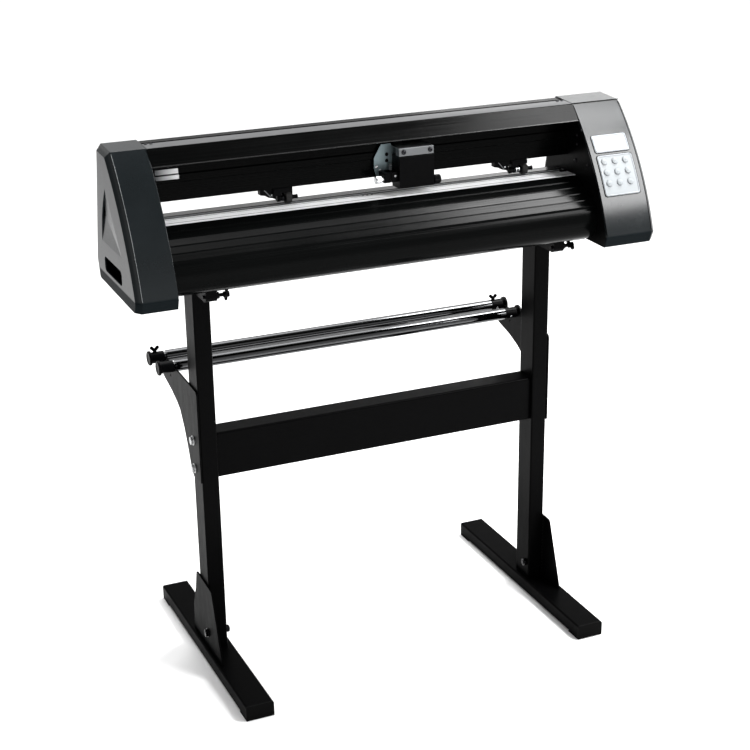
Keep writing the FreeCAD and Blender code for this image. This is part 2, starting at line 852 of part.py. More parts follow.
def make_keys():
    """Nine round keys, each with a stem through the cover and a flange behind it."""
    wall = size("cover_wall")
    for names, height in zip(KEY_NAMES, key_heights()):
        for name, across in zip(names, key_columns()):
            turn = front_turn(height)
            flange_y, flange_z = front_point(height, -wall - 3.2)
            length = wall + 3.2 + size("overlay_thick") + size("key_rise")
            stem = doc.addObject("PartDesign::Body", name + "_body")
            radius = size("key_radius")
            flange = radius + 1.8
            section = [(0, 0), (flange, 0), (flange, 2), (radius, 2), (radius, length, 0.9), (0, length)]
            sketch = add_sketch(stem, name + "_section", "XZ", [section])
            revolution = stem.newObject("PartDesign::Revolution", name + "_turn")
            revolution.Profile = sketch
            revolution.ReferenceAxis = (sketch, ["V_Axis"])
            revolution.Angle = 360
            place(stem, (across, flange_y, flange_z), turn)
            keep(stem, name)


# ---------------------------------------------------------------- machine structure


def throat_length():
    return size("throat_right") - size("throat_left")


def make_base_tray():
    """Bent sheet: the machine's floor and its rear wall, with the inlet's window."""
    base = size("base_z")
    sheet_gauge = 2.5
    outline = [
        (-98, base), (-98, base + 12), (-98 + sheet_gauge, base + 12), (-98 + sheet_gauge, base + sheet_gauge),
        (55 - sheet_gauge, base + sheet_gauge), (55 - sheet_gauge, 803), (55, 803), (55, base, 3),
    ]
    body = extruded("base_tray", "YZ", [outline], throat_length(), ("Dims.throat_left", 0, 0))
    window = rectangle(286 - size("throat_left"), 746, 334 - size("throat_left"), 774, 1)
    sketch = add_sketch(body, "inlet_window", "XZ", [window], offset=-60)
    add_pocket(body, "inlet_cut", sketch, 15, reverse=True)
    return keep(body, "base_tray")


def make_front_apron():
    """Curved front skin from the platen's edge down and under, with raised beads along it."""
    outer = [
        (-60.6, 820.6),
        (-75, 814.2), (-76, 814.4), (-77.2, 812.9),
        (-90, 807.4), (-91, 807.6), (-92.2, 806.1),
        (-103.4, 799.3), (-104.4, 799.4), (-105.4, 797.6),
        (-116, 790.4), (-117, 790.4), (-118, 788.6),
        (-128.2, 781.3), (-129, 777), (-132.2, 774),
        (-136, 748, "via"), (-100, 716.8),
    ]
    inner = [
        (-98.4, 718.8), (-133.2, 748.5, "via"), (-129.8, 772.6), (-125.6, 780),
        (-100, 796.8), (-75, 811.2), (-60.6, 817.6),
    ]
    body = extruded("front_apron", "YZ", [outer + inner], throat_length(), ("Dims.throat_left", 0, 0))
    return keep(body, "front_apron")


def make_platen():
    """Folded bed plate with a trough for the grit shaft and a seat for the cutting strip."""
    gauge = 2.5
    outline = [
        (52, 806), (15, 821), (-7, 821), (-7, 804.5), (-23, 804.5), (-23, 820), (-60.4, 820),
        (-60.4, 820 - gauge), (-23 - gauge, 820 - gauge), (-23 - gauge, 804.5 - gauge),
        (-7 + gauge, 804.5 - gauge), (-7 + gauge, 821 - gauge), (15 - 0.5, 821 - gauge), (52, 806 - 2.7),
    ]
    return keep(extruded("platen", "YZ", [outline], throat_length(), ("Dims.throat_left", 0, 0)), "platen")


def make_cutting_strip():
    """Hard strip that the blade runs over, with its fine groove under the tool."""
    tool = size("tool_y")
    outline = [
        (-23.2, 820), (-23.2, 821.2), (tool + 0.7, 821.2), (tool + 0.7, 820.7), (tool - 0.7, 820.7),
        (tool - 0.7, 821.2), (-60, 821.2), (-60, 820),
    ]
    at = ("Dims.throat_left + 0.3", 0, 0)
    return keep(extruded("cutting_strip", "YZ", [outline], throat_length() - 0.6, at), "cutting_strip")


def make_beam():
    """Extruded carriage beam: top, sloping front lip, rail wall, and a slotted underside."""
    wall = 3
    front = -24
    back = 14
    low = 850
    slot_front = size("pinch_y") - 3
    slot_back = size("pinch_y") + 3
    outline = [
        (slot_back, low), (back, low), (back, 944), (-3, 943.6), (-3, 942.6), (-9, 942.6), (-9, 943.5),
        (-42, 942, 1.5), (-64, 917, 0.8), (-61.6, 915.6), (-40.6, 938.8), (front, 940),
        (front, 894), (front - 3, 892.5), (front - 3, 881.5), (front, 880),
        (front, low), (slot_front, low), (slot_front, low + wall), (front + wall, low + wall),
        (front + wall, 940), (back - wall, 941), (back - wall, low + wall), (slot_back, low + wall),
    ]
    return keep(extruded("beam", "YZ", [outline], throat_length(), ("Dims.throat_left", 0, 0)), "beam")


def belt_window():
    middle = size("belt_y")
    return rectangle(middle - 9.5, size("belt_z") - 3.5, middle + 9.5, size("belt_z") + 10, 2)


def frame_outline():
    return inset(COVER_OUTLINE, size("cover_wall") + size("frame_gap"))


def make_left_frame():
    """Left side plate, with the carriage motor's shelf and the shaft and motor holes."""
    circles = [
        (size("shaft_y"), size("shaft_z"), size("shaft_journal") + size("running_gap")),
        (size("shaft_y"), pinion_z(), 13),
    ]
    at = ("Dims.throat_left - Dims.frame_thick", 0, 0)
    plate = extruded(
        "left_frame_plate", "YZ", [frame_outline(), belt_window()], "Dims.frame_thick", at, circles
    )
    shelf = block(
        "left_shelf", (52, 44, 3), ("Dims.throat_left - Dims.frame_thick - 51.5", "Dims.belt_y - 22", "Dims.shelf_z")
    )
    pilot = rod("left_shelf_pilot", 10, 6, ("Dims.drive_pulley_x", "Dims.belt_y", "Dims.shelf_z - 1"))
    return keep(joined("left_frame", [plate, carved("left_shelf_bored", shelf, [pilot])]), "left_frame")


def make_right_frame():
    """Right side plate, with the idler's shelf and pin and the board's standoffs."""
    circles = [(size("shaft_y"), size("shaft_z"), size("shaft_journal") + size("running_gap"))]
    plate = extruded(
        "right_frame_plate", "YZ", [frame_outline(), belt_window()], "Dims.frame_thick",
        ("Dims.throat_right", 0, 0), circles,
    )
    outer_face = "Dims.throat_right + Dims.frame_thick"
    shelf = block("right_shelf", (42, 36, 3), (outer_face + " - 0.5", "Dims.belt_y - 18", "Dims.shelf_z"))
    pin = rod("idler_pin", 2.5, 17, ("Dims.idler_pulley_x", "Dims.belt_y", "Dims.shelf_z + 1"))
    standoffs = []
    for across in (-70, 20):
        for up in (752, 848):
            name = "standoff_%d_%d" % (abs(across), up)
            standoffs.append(rod(name, 3, 10.7, (outer_face + " - 0.5", across, up), "X"))
    return keep(joined("right_frame", [plate, shelf, pin] + standoffs), "right_frame")


def make_control_board():
    """Circuit board on the standoffs, with its processor, driver heat sinks and connectors."""
    board_x = size("throat_right") + size("frame_thick") + 10.2
    board = block("board_sheet", (1.6, 106, 112), (board_x, -78, 744))
    top = board_x + 1.5
    chips = [
        block("board_processor", (2.6, 22, 22), (top, -30, 800)),
        block("board_left_driver", (12, 24, 16), (top, -70, 760)),
        block("board_right_driver", (12, 24, 16), (top, -34, 760)),
        block("board_connector", (8, 50, 7), (top, -60, 838)),
        block("board_power_plug", (14, 12, 20), (top, 10, 770)),
    ]
    return keep(joined("control_board", [board] + chips), "control_board")


def make_power_inlet():
    """Rear inlet module: a bezel with a three-pin appliance inlet and a rocker's window."""
    face = 55
    middle_x = 310
    middle_z = 760
    bezel = extruded(
        "inlet_bezel", "XZ", [rectangle(-26, -16, 26, 16, 2.5)], 2.5, (middle_x, face, middle_z), reverse=True
    )
    housing = extruded(
        "inlet_housing", "XZ", [rectangle(-23.6, -13.6, 23.6, 13.6, 1)], 21, (middle_x, face + 0.5, middle_z)
    )
    socket = extruded(
        "inlet_socket",
        "XZ",
        [[(-20, -8.4, 2), (-20, 8.4, 5), (4, 8.4, 5), (4, -8.4, 2)]],
        16,
        (middle_x, face + 3, middle_z),
    )
    rocker_window = extruded(
        "rocker_window", "XZ", [rectangle(9, -10, 20.5, 10, 0.6)], 10, (middle_x, face + 3, middle_z)
    )
    bearing = rod("rocker_bearing", 0.9, 14.1, (317.7, "Dims.rocker_y", "Dims.rocker_z"), "X")
    shell = carved("inlet_shell", joined("inlet_solid", [bezel, housing]), [socket, rocker_window, bearing])
    pins = []
    for across, up in ((-14.5, -2), (-8, 2.5), (-1.5, -2)):
        name = "inlet_pin_%d" % abs(10 * across)
        pins.append(block(name, (2, 16, 4), (middle_x + across - 1, face - 14, middle_z + up - 2)))
    return keep(joined("power_inlet", [shell] + pins), "power_inlet")


def make_power_switch():
    """Rocker in the inlet module, stored with its lower half pressed in, on two round stubs."""
    outline = [(-5, -7), (-5, 7), (0.6, 9), (2.6, 9), (0.9, 0), (2.6, -9), (0.6, -9)]
    rocker = extruded(
        "rocker_paddle", "YZ", [outline], 10.9, (319.3, "Dims.rocker_y", "Dims.rocker_z"),
        turn=FreeCAD.Rotation(X_AXIS, -8),
    )
    stubs = rod("rocker_stubs", 0.85, 13.9, (317.8, "Dims.rocker_y", "Dims.rocker_z"), "X")
    return keep(joined("power_switch", [rocker, stubs]), "power_switch")


def screw_head(name, start, across, up, radius, depth, axis="X"):
    """Pan head of a machine screw."""
    return rod(name, radius, depth, (start, across, up), axis)


def make_machine_screws():
    """Pan-head screws that hold the beam, the bed and the covers to the side plates."""
    throat_faces = ((-1, size("throat_left")), (1, size("throat_right") - 2))
    spots = ((-57, 846.5, 3.6), (-99, 846, 1.8), (-74.5, 902.5, 2.2), (-61, 891.5, 2.2), (-61, 875.5, 2.2))
    pieces = []
    for side, start in throat_faces:
        for index, (across, up, radius) in enumerate(spots, start=1):
            name = "%s_wall_screw_%d" % (side_word(side), index)
            pieces.append(screw_head(name, start, across, up, radius, 2))
    for x in (-380, -130, 130, 350):
        pieces.append(rod("tray_screw_%d" % (x + 400), 3, 1.6, (x, 55, 790), "Y"))
    return keep(grouped("machine_screws", pieces), "machine_screws")


# ---------------------------------------------------------------- drives


def gear_outline(teeth, phase):
    """Straight-flanked spur teeth at the sheet's module, starting at a phase in radians."""
    module = size("gear_module")
    pitch_radius = module * teeth / 2
    root = pitch_radius - 1.3 * module
    tip = pitch_radius + 0.85 * module
    step = 2 * math.pi / teeth
    points = []
    for index in range(teeth):
        middle = phase - index * step
        for share, radius in ((0.36, root), (0.13, tip), (-0.13, tip), (-0.36, root)):
            angle = middle + share * step
            points.append((radius * math.cos(angle), radius * math.sin(angle)))
    return points


def pinion_z():
    reach = size("gear_module") * (size("gear_teeth") + size("pinion_teeth")) / 2
    return size("shaft_z") - reach - size("gear_backlash")


def make_gear(name, teeth, phase, bore, height):
    """Spur gear about the X axis at the drive's station in the left cover."""
    at = ("Dims.gear_x", "Dims.shaft_y", height)
    body = extruded(name, "YZ", [gear_outline(teeth, phase)], "Dims.gear_width", at, [(0, 0, bore)])
    return keep(body, name)


def make_feed_drive():
    downward = -math.pi / 2
    gap = size("running_gap")
    make_gear("feed_gear", int(size("gear_teeth")), downward, size("shaft_journal") + gap, "Dims.shaft_z")
    half_tooth = math.pi / size("pinion_teeth")
    make_gear("feed_pinion", int(size("pinion_teeth")), math.pi / 2 + half_tooth, 3 + gap, pinion_z())
    motor_size = size("feed_motor_size")
    half = motor_size / 2
    case = extruded(
        "feed_motor_case", "YZ", [rectangle(-half, -half, half, half, 5)], "Dims.feed_motor_length",
        ("Dims.throat_left", "Dims.shaft_y", pinion_z()),
    )
    shaft = rod(
        "feed_motor_shaft", 3, 22, ("Dims.throat_left - 18", "Dims.shaft_y", pinion_z()), "X"
    )
    keep(joined("feed_motor", [case, shaft]), "feed_motor")


def make_grit_shaft():
    """Knurled drive shaft in the bed's trough, with a journal in each side plate."""
    radius = size("shaft_radius")
    journal = size("shaft_journal")
    left = size("throat_left") + 2
    right = size("throat_right") - 2
    outline = [
        (0, -418), (journal, -418, 0.6), (journal, left), (radius, left, 0.6), (radius, right, 0.6),
        (journal, right), (journal, 378, 0.6), (0, 378),
    ]
    return keep(turned("grit_shaft", outline, "X", (0, "Dims.shaft_y", "Dims.shaft_z")), "grit_shaft")


def make_carriage_motor():
    half = size("carriage_motor_size") / 2
    case = extruded(
        "carriage_motor_case", "XY", [rectangle(-half, -half, half, half, 4)], "Dims.carriage_motor_height",
        ("Dims.drive_pulley_x", "Dims.belt_y", "Dims.shelf_z - Dims.carriage_motor_height"),
    )
    shaft = rod(
        "carriage_motor_shaft", 2.5, 19, ("Dims.drive_pulley_x", "Dims.belt_y", "Dims.shelf_z - 1")
    )
    return keep(joined("carriage_motor", [case, shaft]), "carriage_motor")


def make_pulley(name, across):
    """Flanged belt pulley about a vertical axis."""
    bore = 2.5 + size("running_gap")
    rim = size("pulley_radius")
    flange = size("pulley_flange")
    low = size("belt_z") - 2
    high = size("belt_z") + size("belt_width") + 2
    outline = [
        (bore, low), (flange, low), (flange, low + 1.5), (rim, low + 1.5), (rim, high - 1.5),
        (flange, high - 1.5), (flange, high), (bore, high),
    ]
    return keep(turned(name, outline, "Z", (across, "Dims.belt_y", 0)), name)


def race_track(left, right, radius):
    """Outline of a belt round two equal pulleys whose centres are left and right."""
    return [
        (left, -radius), (left - radius, 0, "via"), (left, radius),
        (right, radius), (right + radius, 0, "via"), (right, -radius),
    ]


def make_drive_belt():
    inner = size("pulley_radius") + 0.3
    outer = inner + size("belt_thick")
    left = size("drive_pulley_x")
    right = size("idler_pulley_x")
    outlines = [race_track(left, right, outer), race_track(left, right, inner)]
    at = (0, "Dims.belt_y", "Dims.belt_z")
    return keep(extruded("drive_belt", "XY", outlines, "Dims.belt_width", at), "drive_belt")


# ---------------------------------------------------------------- pinch rollers


def make_pinch_block(side, middle):
    """Moulded slider: a tee in the beam's slot, a hood over the roller, a spring box and two ears."""
    name = side_word(side) + "_pinch_block"
    slot = size("pinch_y")
    top = size("block_top")
    low = 843
    bar = block(name + "_bar", (43, 10, top - low), (middle + "- 28", 4, low))
    lump = block(name + "_lump", (15, 38, top - low), (middle + "- 28", -26, low))
    hood = block(name + "_hood", (30.5, 3.7, top - 842.6), (middle + "- 28", -26.2, 842.6))
    skirt = block(name + "_skirt", (13, 4.7, 5.5), (middle + "- 28", -26.2, 838))
    neck = block(name + "_neck", (15, 5.2, 4.4), (middle + "- 28", slot - 2.6, top - 0.5))
    head = block(name + "_head", (15, 10.4, 2.6), (middle + "- 28", slot - 4.4, top + 3.8))
    box_end = -size(side_word(side) + "_hub_reach") - 3.5
    box_outline = [
        (box_end - 27.5, top), (box_end - 27.5, 841), (box_end - 19.6, 839.5), (box_end - 12.8, 835.5),
        (box_end - 5.5, 834), (box_end, 831), (box_end, low), (-26, low), (-26, top),
    ]
    spring_box = extruded(name + "_spring_box", "XZ", [box_outline], 12, (middle, -10, 0))
    ears = []
    for start, tag in ((-15.5, "left"), (12, "right")):
        ears.append(block("%s_%s_ear" % (name, tag), (3.5, 10, 13), (middle + "%+.1f" % start, 1, 831)))
    solid = joined(name + "_solid", [bar, lump, hood, skirt, neck, head, spring_box] + ears)
    bore = rod(
        name + "_pivot_bore", "Dims.pivot_pin + Dims.running_gap", 40,
        (middle + "- 20", "Dims.pivot_y", "Dims.pivot_z"), "X",
    )
    return keep(carved(name, solid, [bore]), name)


def make_pinch_arm(side, middle):
    """Fork that carries the roller's pin and hubs, with its pivot pin and a lift lever at the back."""
    name = side_word(side) + "_pinch_arm"
    pinch_y = size("pinch_y")
    pinch_z = size("pinch_z")
    reach = size(side_word(side) + "_hub_reach")
    cheek_outline = [
        (pinch_y - 4, pinch_z - 3, 2), (pinch_y - 4, pinch_z + 4, 2), (0, 840, 1), (9, 840, 2),
        (9, 832.5, 2), (0, 832.5), (pinch_y + 4, pinch_z - 3.5, 2),
    ]
    pieces = []
    for start, tag in ((-8.6, "left"), (5.6, "right")):
        label = "%s_%s_cheek" % (name, tag)
        pieces.append(extruded(label, "YZ", [cheek_outline], 3, (middle + "%+.1f" % start, 0, 0)))
    pieces.append(block(name + "_bridge", (17.2, 8, 6.6), (middle + "- 8.6", 0.5, 832.7)))
    pieces.append(
        rod(name + "_roller_pin", "Dims.pinch_pin", 20, (middle + "- 10", "Dims.pinch_y", "Dims.pinch_z"), "X")
    )
    pieces.append(
        rod(name + "_pivot_pin", "Dims.pivot_pin", 30.6, (middle + "- 15.3", "Dims.pivot_y", "Dims.pivot_z"), "X")
    )
    pieces.append(
        rod(name + "_left_hub", 4.6, reach - 8, (middle + "- %.1f" % reach, "Dims.pinch_y", "Dims.pinch_z"), "X")
    )
    pieces.append(rod(name + "_right_hub", 3.4, 8.4, (middle + "+ 8", "Dims.pinch_y", "Dims.pinch_z"), "X"))
    pieces.append(block(name + "_lever", (16, 24, 4), (middle + "- 8", 8, 836)))
    return keep(joined(name, pieces), name)


def make_pinch_roller(side, middle):
    name = side_word(side) + "_pinch_roller"
    half = size("pinch_length") / 2
    bore = size("pinch_pin") + size("running_gap")
    radius = size("pinch_radius")
    outline = [(bore, -half), (radius, -half, 1), (radius, half, 1), (bore, half)]
    return keep(turned(name, outline, "X", (middle, "Dims.pinch_y", "Dims.pinch_z")), name)


def make_pinch_units():
    for side, middle in ((-1, "Dims.left_pinch_x"), (1, "Dims.right_pinch_x")):
        make_pinch_block(side, middle)
        make_pinch_arm(side, middle)
        make_pinch_roller(side, middle)


# ---------------------------------------------------------------- carriage


def make_carriage_frame():
    """Zinc-plated plate behind the tool."""
    outline = [
        (-7, 866, 3), (-7, 884, 2), (6, 906, 1), (24.5, 906), (24.5, 901.2), (88, 901.2, 1), (88, 862),
        (8, 859, 2), (-3, 851, 2),
    ]
    circles = [(16.6, 888, 3.3), (16.5, 877.5, 3.3), (-1.5, 870, 1.6), (78, 897, 2)]
    at = (0, "Dims.plate_front", 0)
    body = extruded("carriage_frame", "XZ", [outline], 1.5, at, circles, reverse=True)
    return keep(body, "carriage_frame")


def make_carriage_shoe():
    """Plastic slider that runs on the beam's rail, with a tab up to the belt."""
    back = -24.35
    front = -29.4
    outline = [
        (front, 872), (front, 902), (back, 902), (back, 894.6), (-27.4, 893), (-27.4, 881), (back, 879.4),
        (back, 872),
    ]
    slider = extruded("shoe_slider", "YZ", [outline], 66, (12, 0, 0))
    tab = block("shoe_belt_tab", (16, 1, 28), (30, front, 901))
    return keep(joined("carriage_shoe", [slider, tab]), "carriage_shoe")


def make_carriage_cover():
    """Box over the lift coil, open at the back, with a round adjusting knob on its right side."""
    body = extruded("carriage_box", "YZ", [rectangle(-62, 834, -31.4, 889, 2.5)], 64, (26, 0, 0))
    inner = [(-60, 836), (-60, 887), (-31.4 + 5, 887), (-31.4 + 5, 836)]
    sketch = add_sketch(body, "carriage_box_inside", "YZ", [inner], offset=2)
    add_pocket(body, "carriage_box_hollow", sketch, 60, reverse=True)
    stub = rod("carriage_box_stub", 4, 3.5, (89.5, -52, 841.5), "X")
    knob = rod("carriage_box_knob", 7, 12, (92.8, -52, 841.5), "X")
    return keep(joined("carriage_cover", [body, stub, knob]), "carriage_cover")


def make_carriage_front_plate():
    """Bright bracket that wraps from the top of the box to the zinc plate."""
    outline = [
        (-62.5, 889.4), (-62.5, 903, 1.5), (-29.6, 903), (-29.6, 901.5), (-61, 901.5, 0.5), (-61, 889.4),
    ]
    face = extruded("front_plate_fold", "YZ", [outline], 63.5, (25, 0, 0))
    flange = block("front_plate_flange", (1.5, 14, 12.4), (25, -62.3, 889.4))
    return keep(joined("carriage_front_plate", [face, flange]), "carriage_front_plate")


def make_tool_clamp():
    """Split block that grips the tool holder, pulled together by its thumb screw."""
    outline = rectangle(1, -56, 25.4, -31.3, 1.5)
    middle = size("tool_x")
    slit = rectangle(middle - 0.75, -58, middle + 0.75, -41)
    body = extruded("tool_clamp_block", "XY", [outline], "Dims.clamp_height", (0, 0, "Dims.clamp_low"))
    cut = add_sketch(body, "tool_clamp_slit", "XY", [slit])
    add_pocket(body, "tool_clamp_split", cut, "Dims.clamp_height", reverse=True)
    bore = rod("tool_clamp_bore", "Dims.tool_radius", 30, ("Dims.tool_x", "Dims.tool_y", 836))
    screw_hole = rod("tool_clamp_screw_hole", 2.05, 21, (0, "Dims.knob_y", "Dims.knob_z"), "X")
    return keep(carved("tool_clamp", body, [bore, screw_hole]), "tool_clamp")


def make_clamp_knob():
    """Knurled thumb screw of the tool clamp."""
    outline = [(0, -14), (5.6, -14, 0.8), (5.6, -2.5, 0.8), (3.4, -2.5), (3.4, 0.7), (2, 0.7), (2, 19), (0, 19)]
    return keep(turned("clamp_knob", outline, "X", (0, "Dims.knob_y", "Dims.knob_z")), "clamp_knob")


# ---------------------------------------------------------------- build and export


def make_stand():
    for side in (-1, 1):
        make_foot(side)
    caps = [make_foot_cap(side, end) for side in (-1, 1) for end in (-1, 1)]
    keep(grouped("foot_caps", caps), "foot_caps")
    for side in (-1, 1):
        make_post(side)
    make_crossbar()
    for side in (-1, 1):
        make_roll_arm(side)
    make_stand_bolts()
    for side in (-1, 1):
        make_clamp_screw(side)


def make_roll_holder():
    make_roller("rear_roller", "Dims.rear_roller_y")
    make_roller_fittings("rear_roller_knobs", "Dims.rear_roller_y", True)
    make_roller("front_roller", "Dims.front_roller_y")
    make_roller_fittings("front_roller_knobs", "Dims.front_roller_y", False)
    make_wing_screws()


def make_head():
    make_base_tray()
    make_front_apron()
    make_platen()
    make_cutting_strip()
    make_beam()
    make_left_frame()
    make_right_frame()
    make_left_cover()
    make_right_cover()
    make_control_board()
    make_power_inlet()
    make_power_switch()
    make_display_window()
    make_keypad_overlay()
    make_keys()
    make_machine_screws()


def make_drives():
    make_carriage_motor()
    make_pulley("drive_pulley", "Dims.drive_pulley_x")
    make_pulley("idler_pulley", "Dims.idler_pulley_x")
    make_drive_belt()
    make_feed_drive()
    make_grit_shaft()


def make_carriage():
    make_carriage_frame()
    make_carriage_shoe()
    make_carriage_cover()
    make_carriage_front_plate()
    make_tool_clamp()
    make_clamp_knob()


def check_document():
    """Stop if any feature failed, cut nothing, or left a bad shape."""
    for obj in doc.Objects:
        if "Invalid" in obj.State or "Error" in obj.State:
            raise RuntimeError("%s failed: %s" % (obj.Name, obj.State))
        if obj.TypeId == "PartDesign::Pocket":
            body = obj.getParentGeoFeatureGroup()
            steps = [item for item in body.Group if item.TypeId.startswith("PartDesign::")]
            before = steps[steps.index(obj) - 1]
            if obj.Shape.Volume > before.Shape.Volume - 0.1:
                raise RuntimeError("%s cuts nothing" % obj.Name)
    labels = [node.Label for node in nodes]
    if len(set(labels)) != len(labels) or len(labels) > 60:
        raise RuntimeError("node names repeat or are too many: %d" % len(labels))
    for node in nodes:
        if node.Shape.isNull() or not node.Shape.isValid() or not node.Shape.Solids:
            raise RuntimeError("%s has a bad shape" % node.Label)


def export_nodes():
    os.makedirs("parts", exist_ok=True)
    for node in nodes:
        node.Shape.exportStep("parts/%s.step" % node.Label)
        bounds = node.Shape.BoundBox
        print(
            "%-22s solids %2d  x %7.1f %7.1f  y %7.1f %7.1f  z %7.1f %7.1f"
            % (
                node.Label, len(node.Shape.Solids), bounds.XMin, bounds.XMax,
                bounds.YMin, bounds.YMax, bounds.ZMin, bounds.ZMax,
            )
        )
    print("%d nodes" % len(nodes))


make_stand()
make_roll_holder()
make_head()
make_drives()
make_pinch_units()
make_carriage()
doc.recompute()
check_document()
export_nodes()
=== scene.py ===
import json
import math

import bmesh
import bpy
from mathutils import Matrix, Vector


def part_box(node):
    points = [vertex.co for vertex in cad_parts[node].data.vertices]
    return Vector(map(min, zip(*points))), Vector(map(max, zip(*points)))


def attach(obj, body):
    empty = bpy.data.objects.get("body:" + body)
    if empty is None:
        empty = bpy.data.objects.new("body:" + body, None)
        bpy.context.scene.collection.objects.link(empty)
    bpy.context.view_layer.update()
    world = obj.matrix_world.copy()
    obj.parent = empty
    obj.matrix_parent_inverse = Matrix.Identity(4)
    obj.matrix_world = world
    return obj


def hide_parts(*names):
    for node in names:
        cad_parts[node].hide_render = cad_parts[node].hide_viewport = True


# Vinyl cutting plotter on a floor stand: materials, small detail pieces, floor, lights and camera.
# Blender works in metres. MM and mm() turn a length or a point in millimetres into metres.

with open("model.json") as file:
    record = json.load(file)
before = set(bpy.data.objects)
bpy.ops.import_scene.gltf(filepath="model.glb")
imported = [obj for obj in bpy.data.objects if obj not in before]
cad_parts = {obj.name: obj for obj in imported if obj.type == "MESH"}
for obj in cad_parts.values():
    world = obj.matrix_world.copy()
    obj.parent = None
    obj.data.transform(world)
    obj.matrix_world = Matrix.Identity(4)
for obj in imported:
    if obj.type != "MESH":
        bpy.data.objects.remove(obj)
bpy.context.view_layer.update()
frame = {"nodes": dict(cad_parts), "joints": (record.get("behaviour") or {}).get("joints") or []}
nodes = frame["nodes"]

MM = 0.001
X, Y, Z = range(3)


def mm(*values):
    """A point or size given in millimetres."""
    return Vector(values) * MM


# ---------------------------------------------------------------- material building blocks


class Graph:
    """A material's node tree, with short calls for the nodes that every finish uses."""

    def __init__(self, name):
        self.material = bpy.data.materials.new(name)
        self.material.use_nodes = True
        self.tree = self.material.node_tree
        self.shader = self.tree.nodes["Principled BSDF"]
        self.place = self.add("ShaderNodeTexCoord").outputs["Object"]

    def add(self, kind, **settings):
        node = self.tree.nodes.new(kind)
        for key, value in settings.items():
            setattr(node, key, value)
        return node

    def link(self, source, target):
        self.tree.links.new(source, target)

    def feed(self, node, socket, source):
        """Link an output, or set a plain value."""
        if isinstance(source, bpy.types.NodeSocket):
            self.link(source, node.inputs[socket])
        else:
            node.inputs[socket].default_value = source

    def stretched(self, stretch):
        """Object coordinates, scaled along each axis."""
        mapping = self.add("ShaderNodeMapping")
        mapping.inputs["Scale"].default_value = stretch
        self.link(self.place, mapping.inputs["Vector"])
        return mapping.outputs["Vector"]

    def along(self, axis):
        """Object coordinate along one axis, in metres."""
        parts = self.add("ShaderNodeSeparateXYZ")
        self.link(self.place, parts.inputs["Vector"])
        return parts.outputs[axis]

    def gloss(self, level, fades=()):
        """Specular level, less by a share before a place along an axis: (axis, start, end, share)."""
        socket = self.shader.inputs["Specular IOR Level"]
        if not fades:
            socket.default_value = level
            return
        value = level
        for axis, start, end, share in fades:
            value = self.math("MULTIPLY", self.span(self.along(axis), share, 1.0, start, end), value)
        self.link(value, socket)

    def noise(self, scale, detail=4.0, roughness=0.55, stretch=(1, 1, 1)):
        node = self.add("ShaderNodeTexNoise")
        node.inputs["Scale"].default_value = scale
        node.inputs["Detail"].default_value = detail
        node.inputs["Roughness"].default_value = roughness
        self.link(self.stretched(stretch), node.inputs["Vector"])
        return node.outputs["Fac"]

    def cells(self, scale):
        node = self.add("ShaderNodeTexVoronoi")
        node.inputs["Scale"].default_value = scale
        self.link(self.place, node.inputs["Vector"])
        return node.outputs["Distance"]

    def span(self, source, low, high, start=0.3, end=0.7):
        """A source's start..end range, turned into low..high."""
        node = self.add("ShaderNodeMapRange")
        for socket, value in (("From Min", start), ("From Max", end), ("To Min", low), ("To Max", high)):
            node.inputs[socket].default_value = value
        self.link(source, node.inputs["Value"])
        return node.outputs["Result"]

    def math(self, operation, first, second=0.0):
        node = self.add("ShaderNodeMath", operation=operation)
        self.feed(node, 0, first)
        self.feed(node, 1, second)
        return node.outputs[0]

    def blend(self, factor, first, second):
        node = self.add("ShaderNodeMix", data_type="RGBA")
        self.feed(node, "Factor", factor)
        colours = [socket for socket in node.inputs if socket.type == "RGBA"]
        for socket, colour in zip(colours, (first, second)):
            if isinstance(colour, bpy.types.NodeSocket):
                self.link(colour, socket)
            else:
                socket.default_value = tuple(colour) + (1.0,)
        return next(socket for socket in node.outputs if socket.type == "RGBA")

    def rounded(self, radius):
        """Surface normal with the sharp edges rounded off."""
        node = self.add("ShaderNodeBevel", samples=4)
        node.inputs["Radius"].default_value = radius
        return node.outputs["Normal"]

    def edges(self, radius):
        """1 on a worn edge and 0 on a flat face."""
        geometry = self.add("ShaderNodeNewGeometry")
        product = self.add("ShaderNodeVectorMath", operation="DOT_PRODUCT")
        self.link(self.rounded(radius), product.inputs[0])
        self.link(geometry.outputs["Normal"], product.inputs[1])
        return self.span(product.outputs["Value"], 1.0, 0.0, 0.80, 0.985)

    def bumps(self, layers, edge_radius):
        """Stack bump layers of (height, strength, distance) on the rounded normal."""
        normal = self.rounded(edge_radius)
        for height, strength, distance in layers:
            node = self.add("ShaderNodeBump")
            node.inputs["Strength"].default_value = strength
            node.inputs["Distance"].default_value = distance
            self.link(height, node.inputs["Height"])
            self.link(normal, node.inputs["Normal"])
            normal = node.outputs["Normal"]
        self.link(normal, self.shader.inputs["Normal"])

    def set(self, **values):
        for name, value in values.items():
            self.feed(self.shader, name.replace("_", " "), value)


def shade(base, factor):
    return tuple(min(1.0, channel * factor) for channel in base)


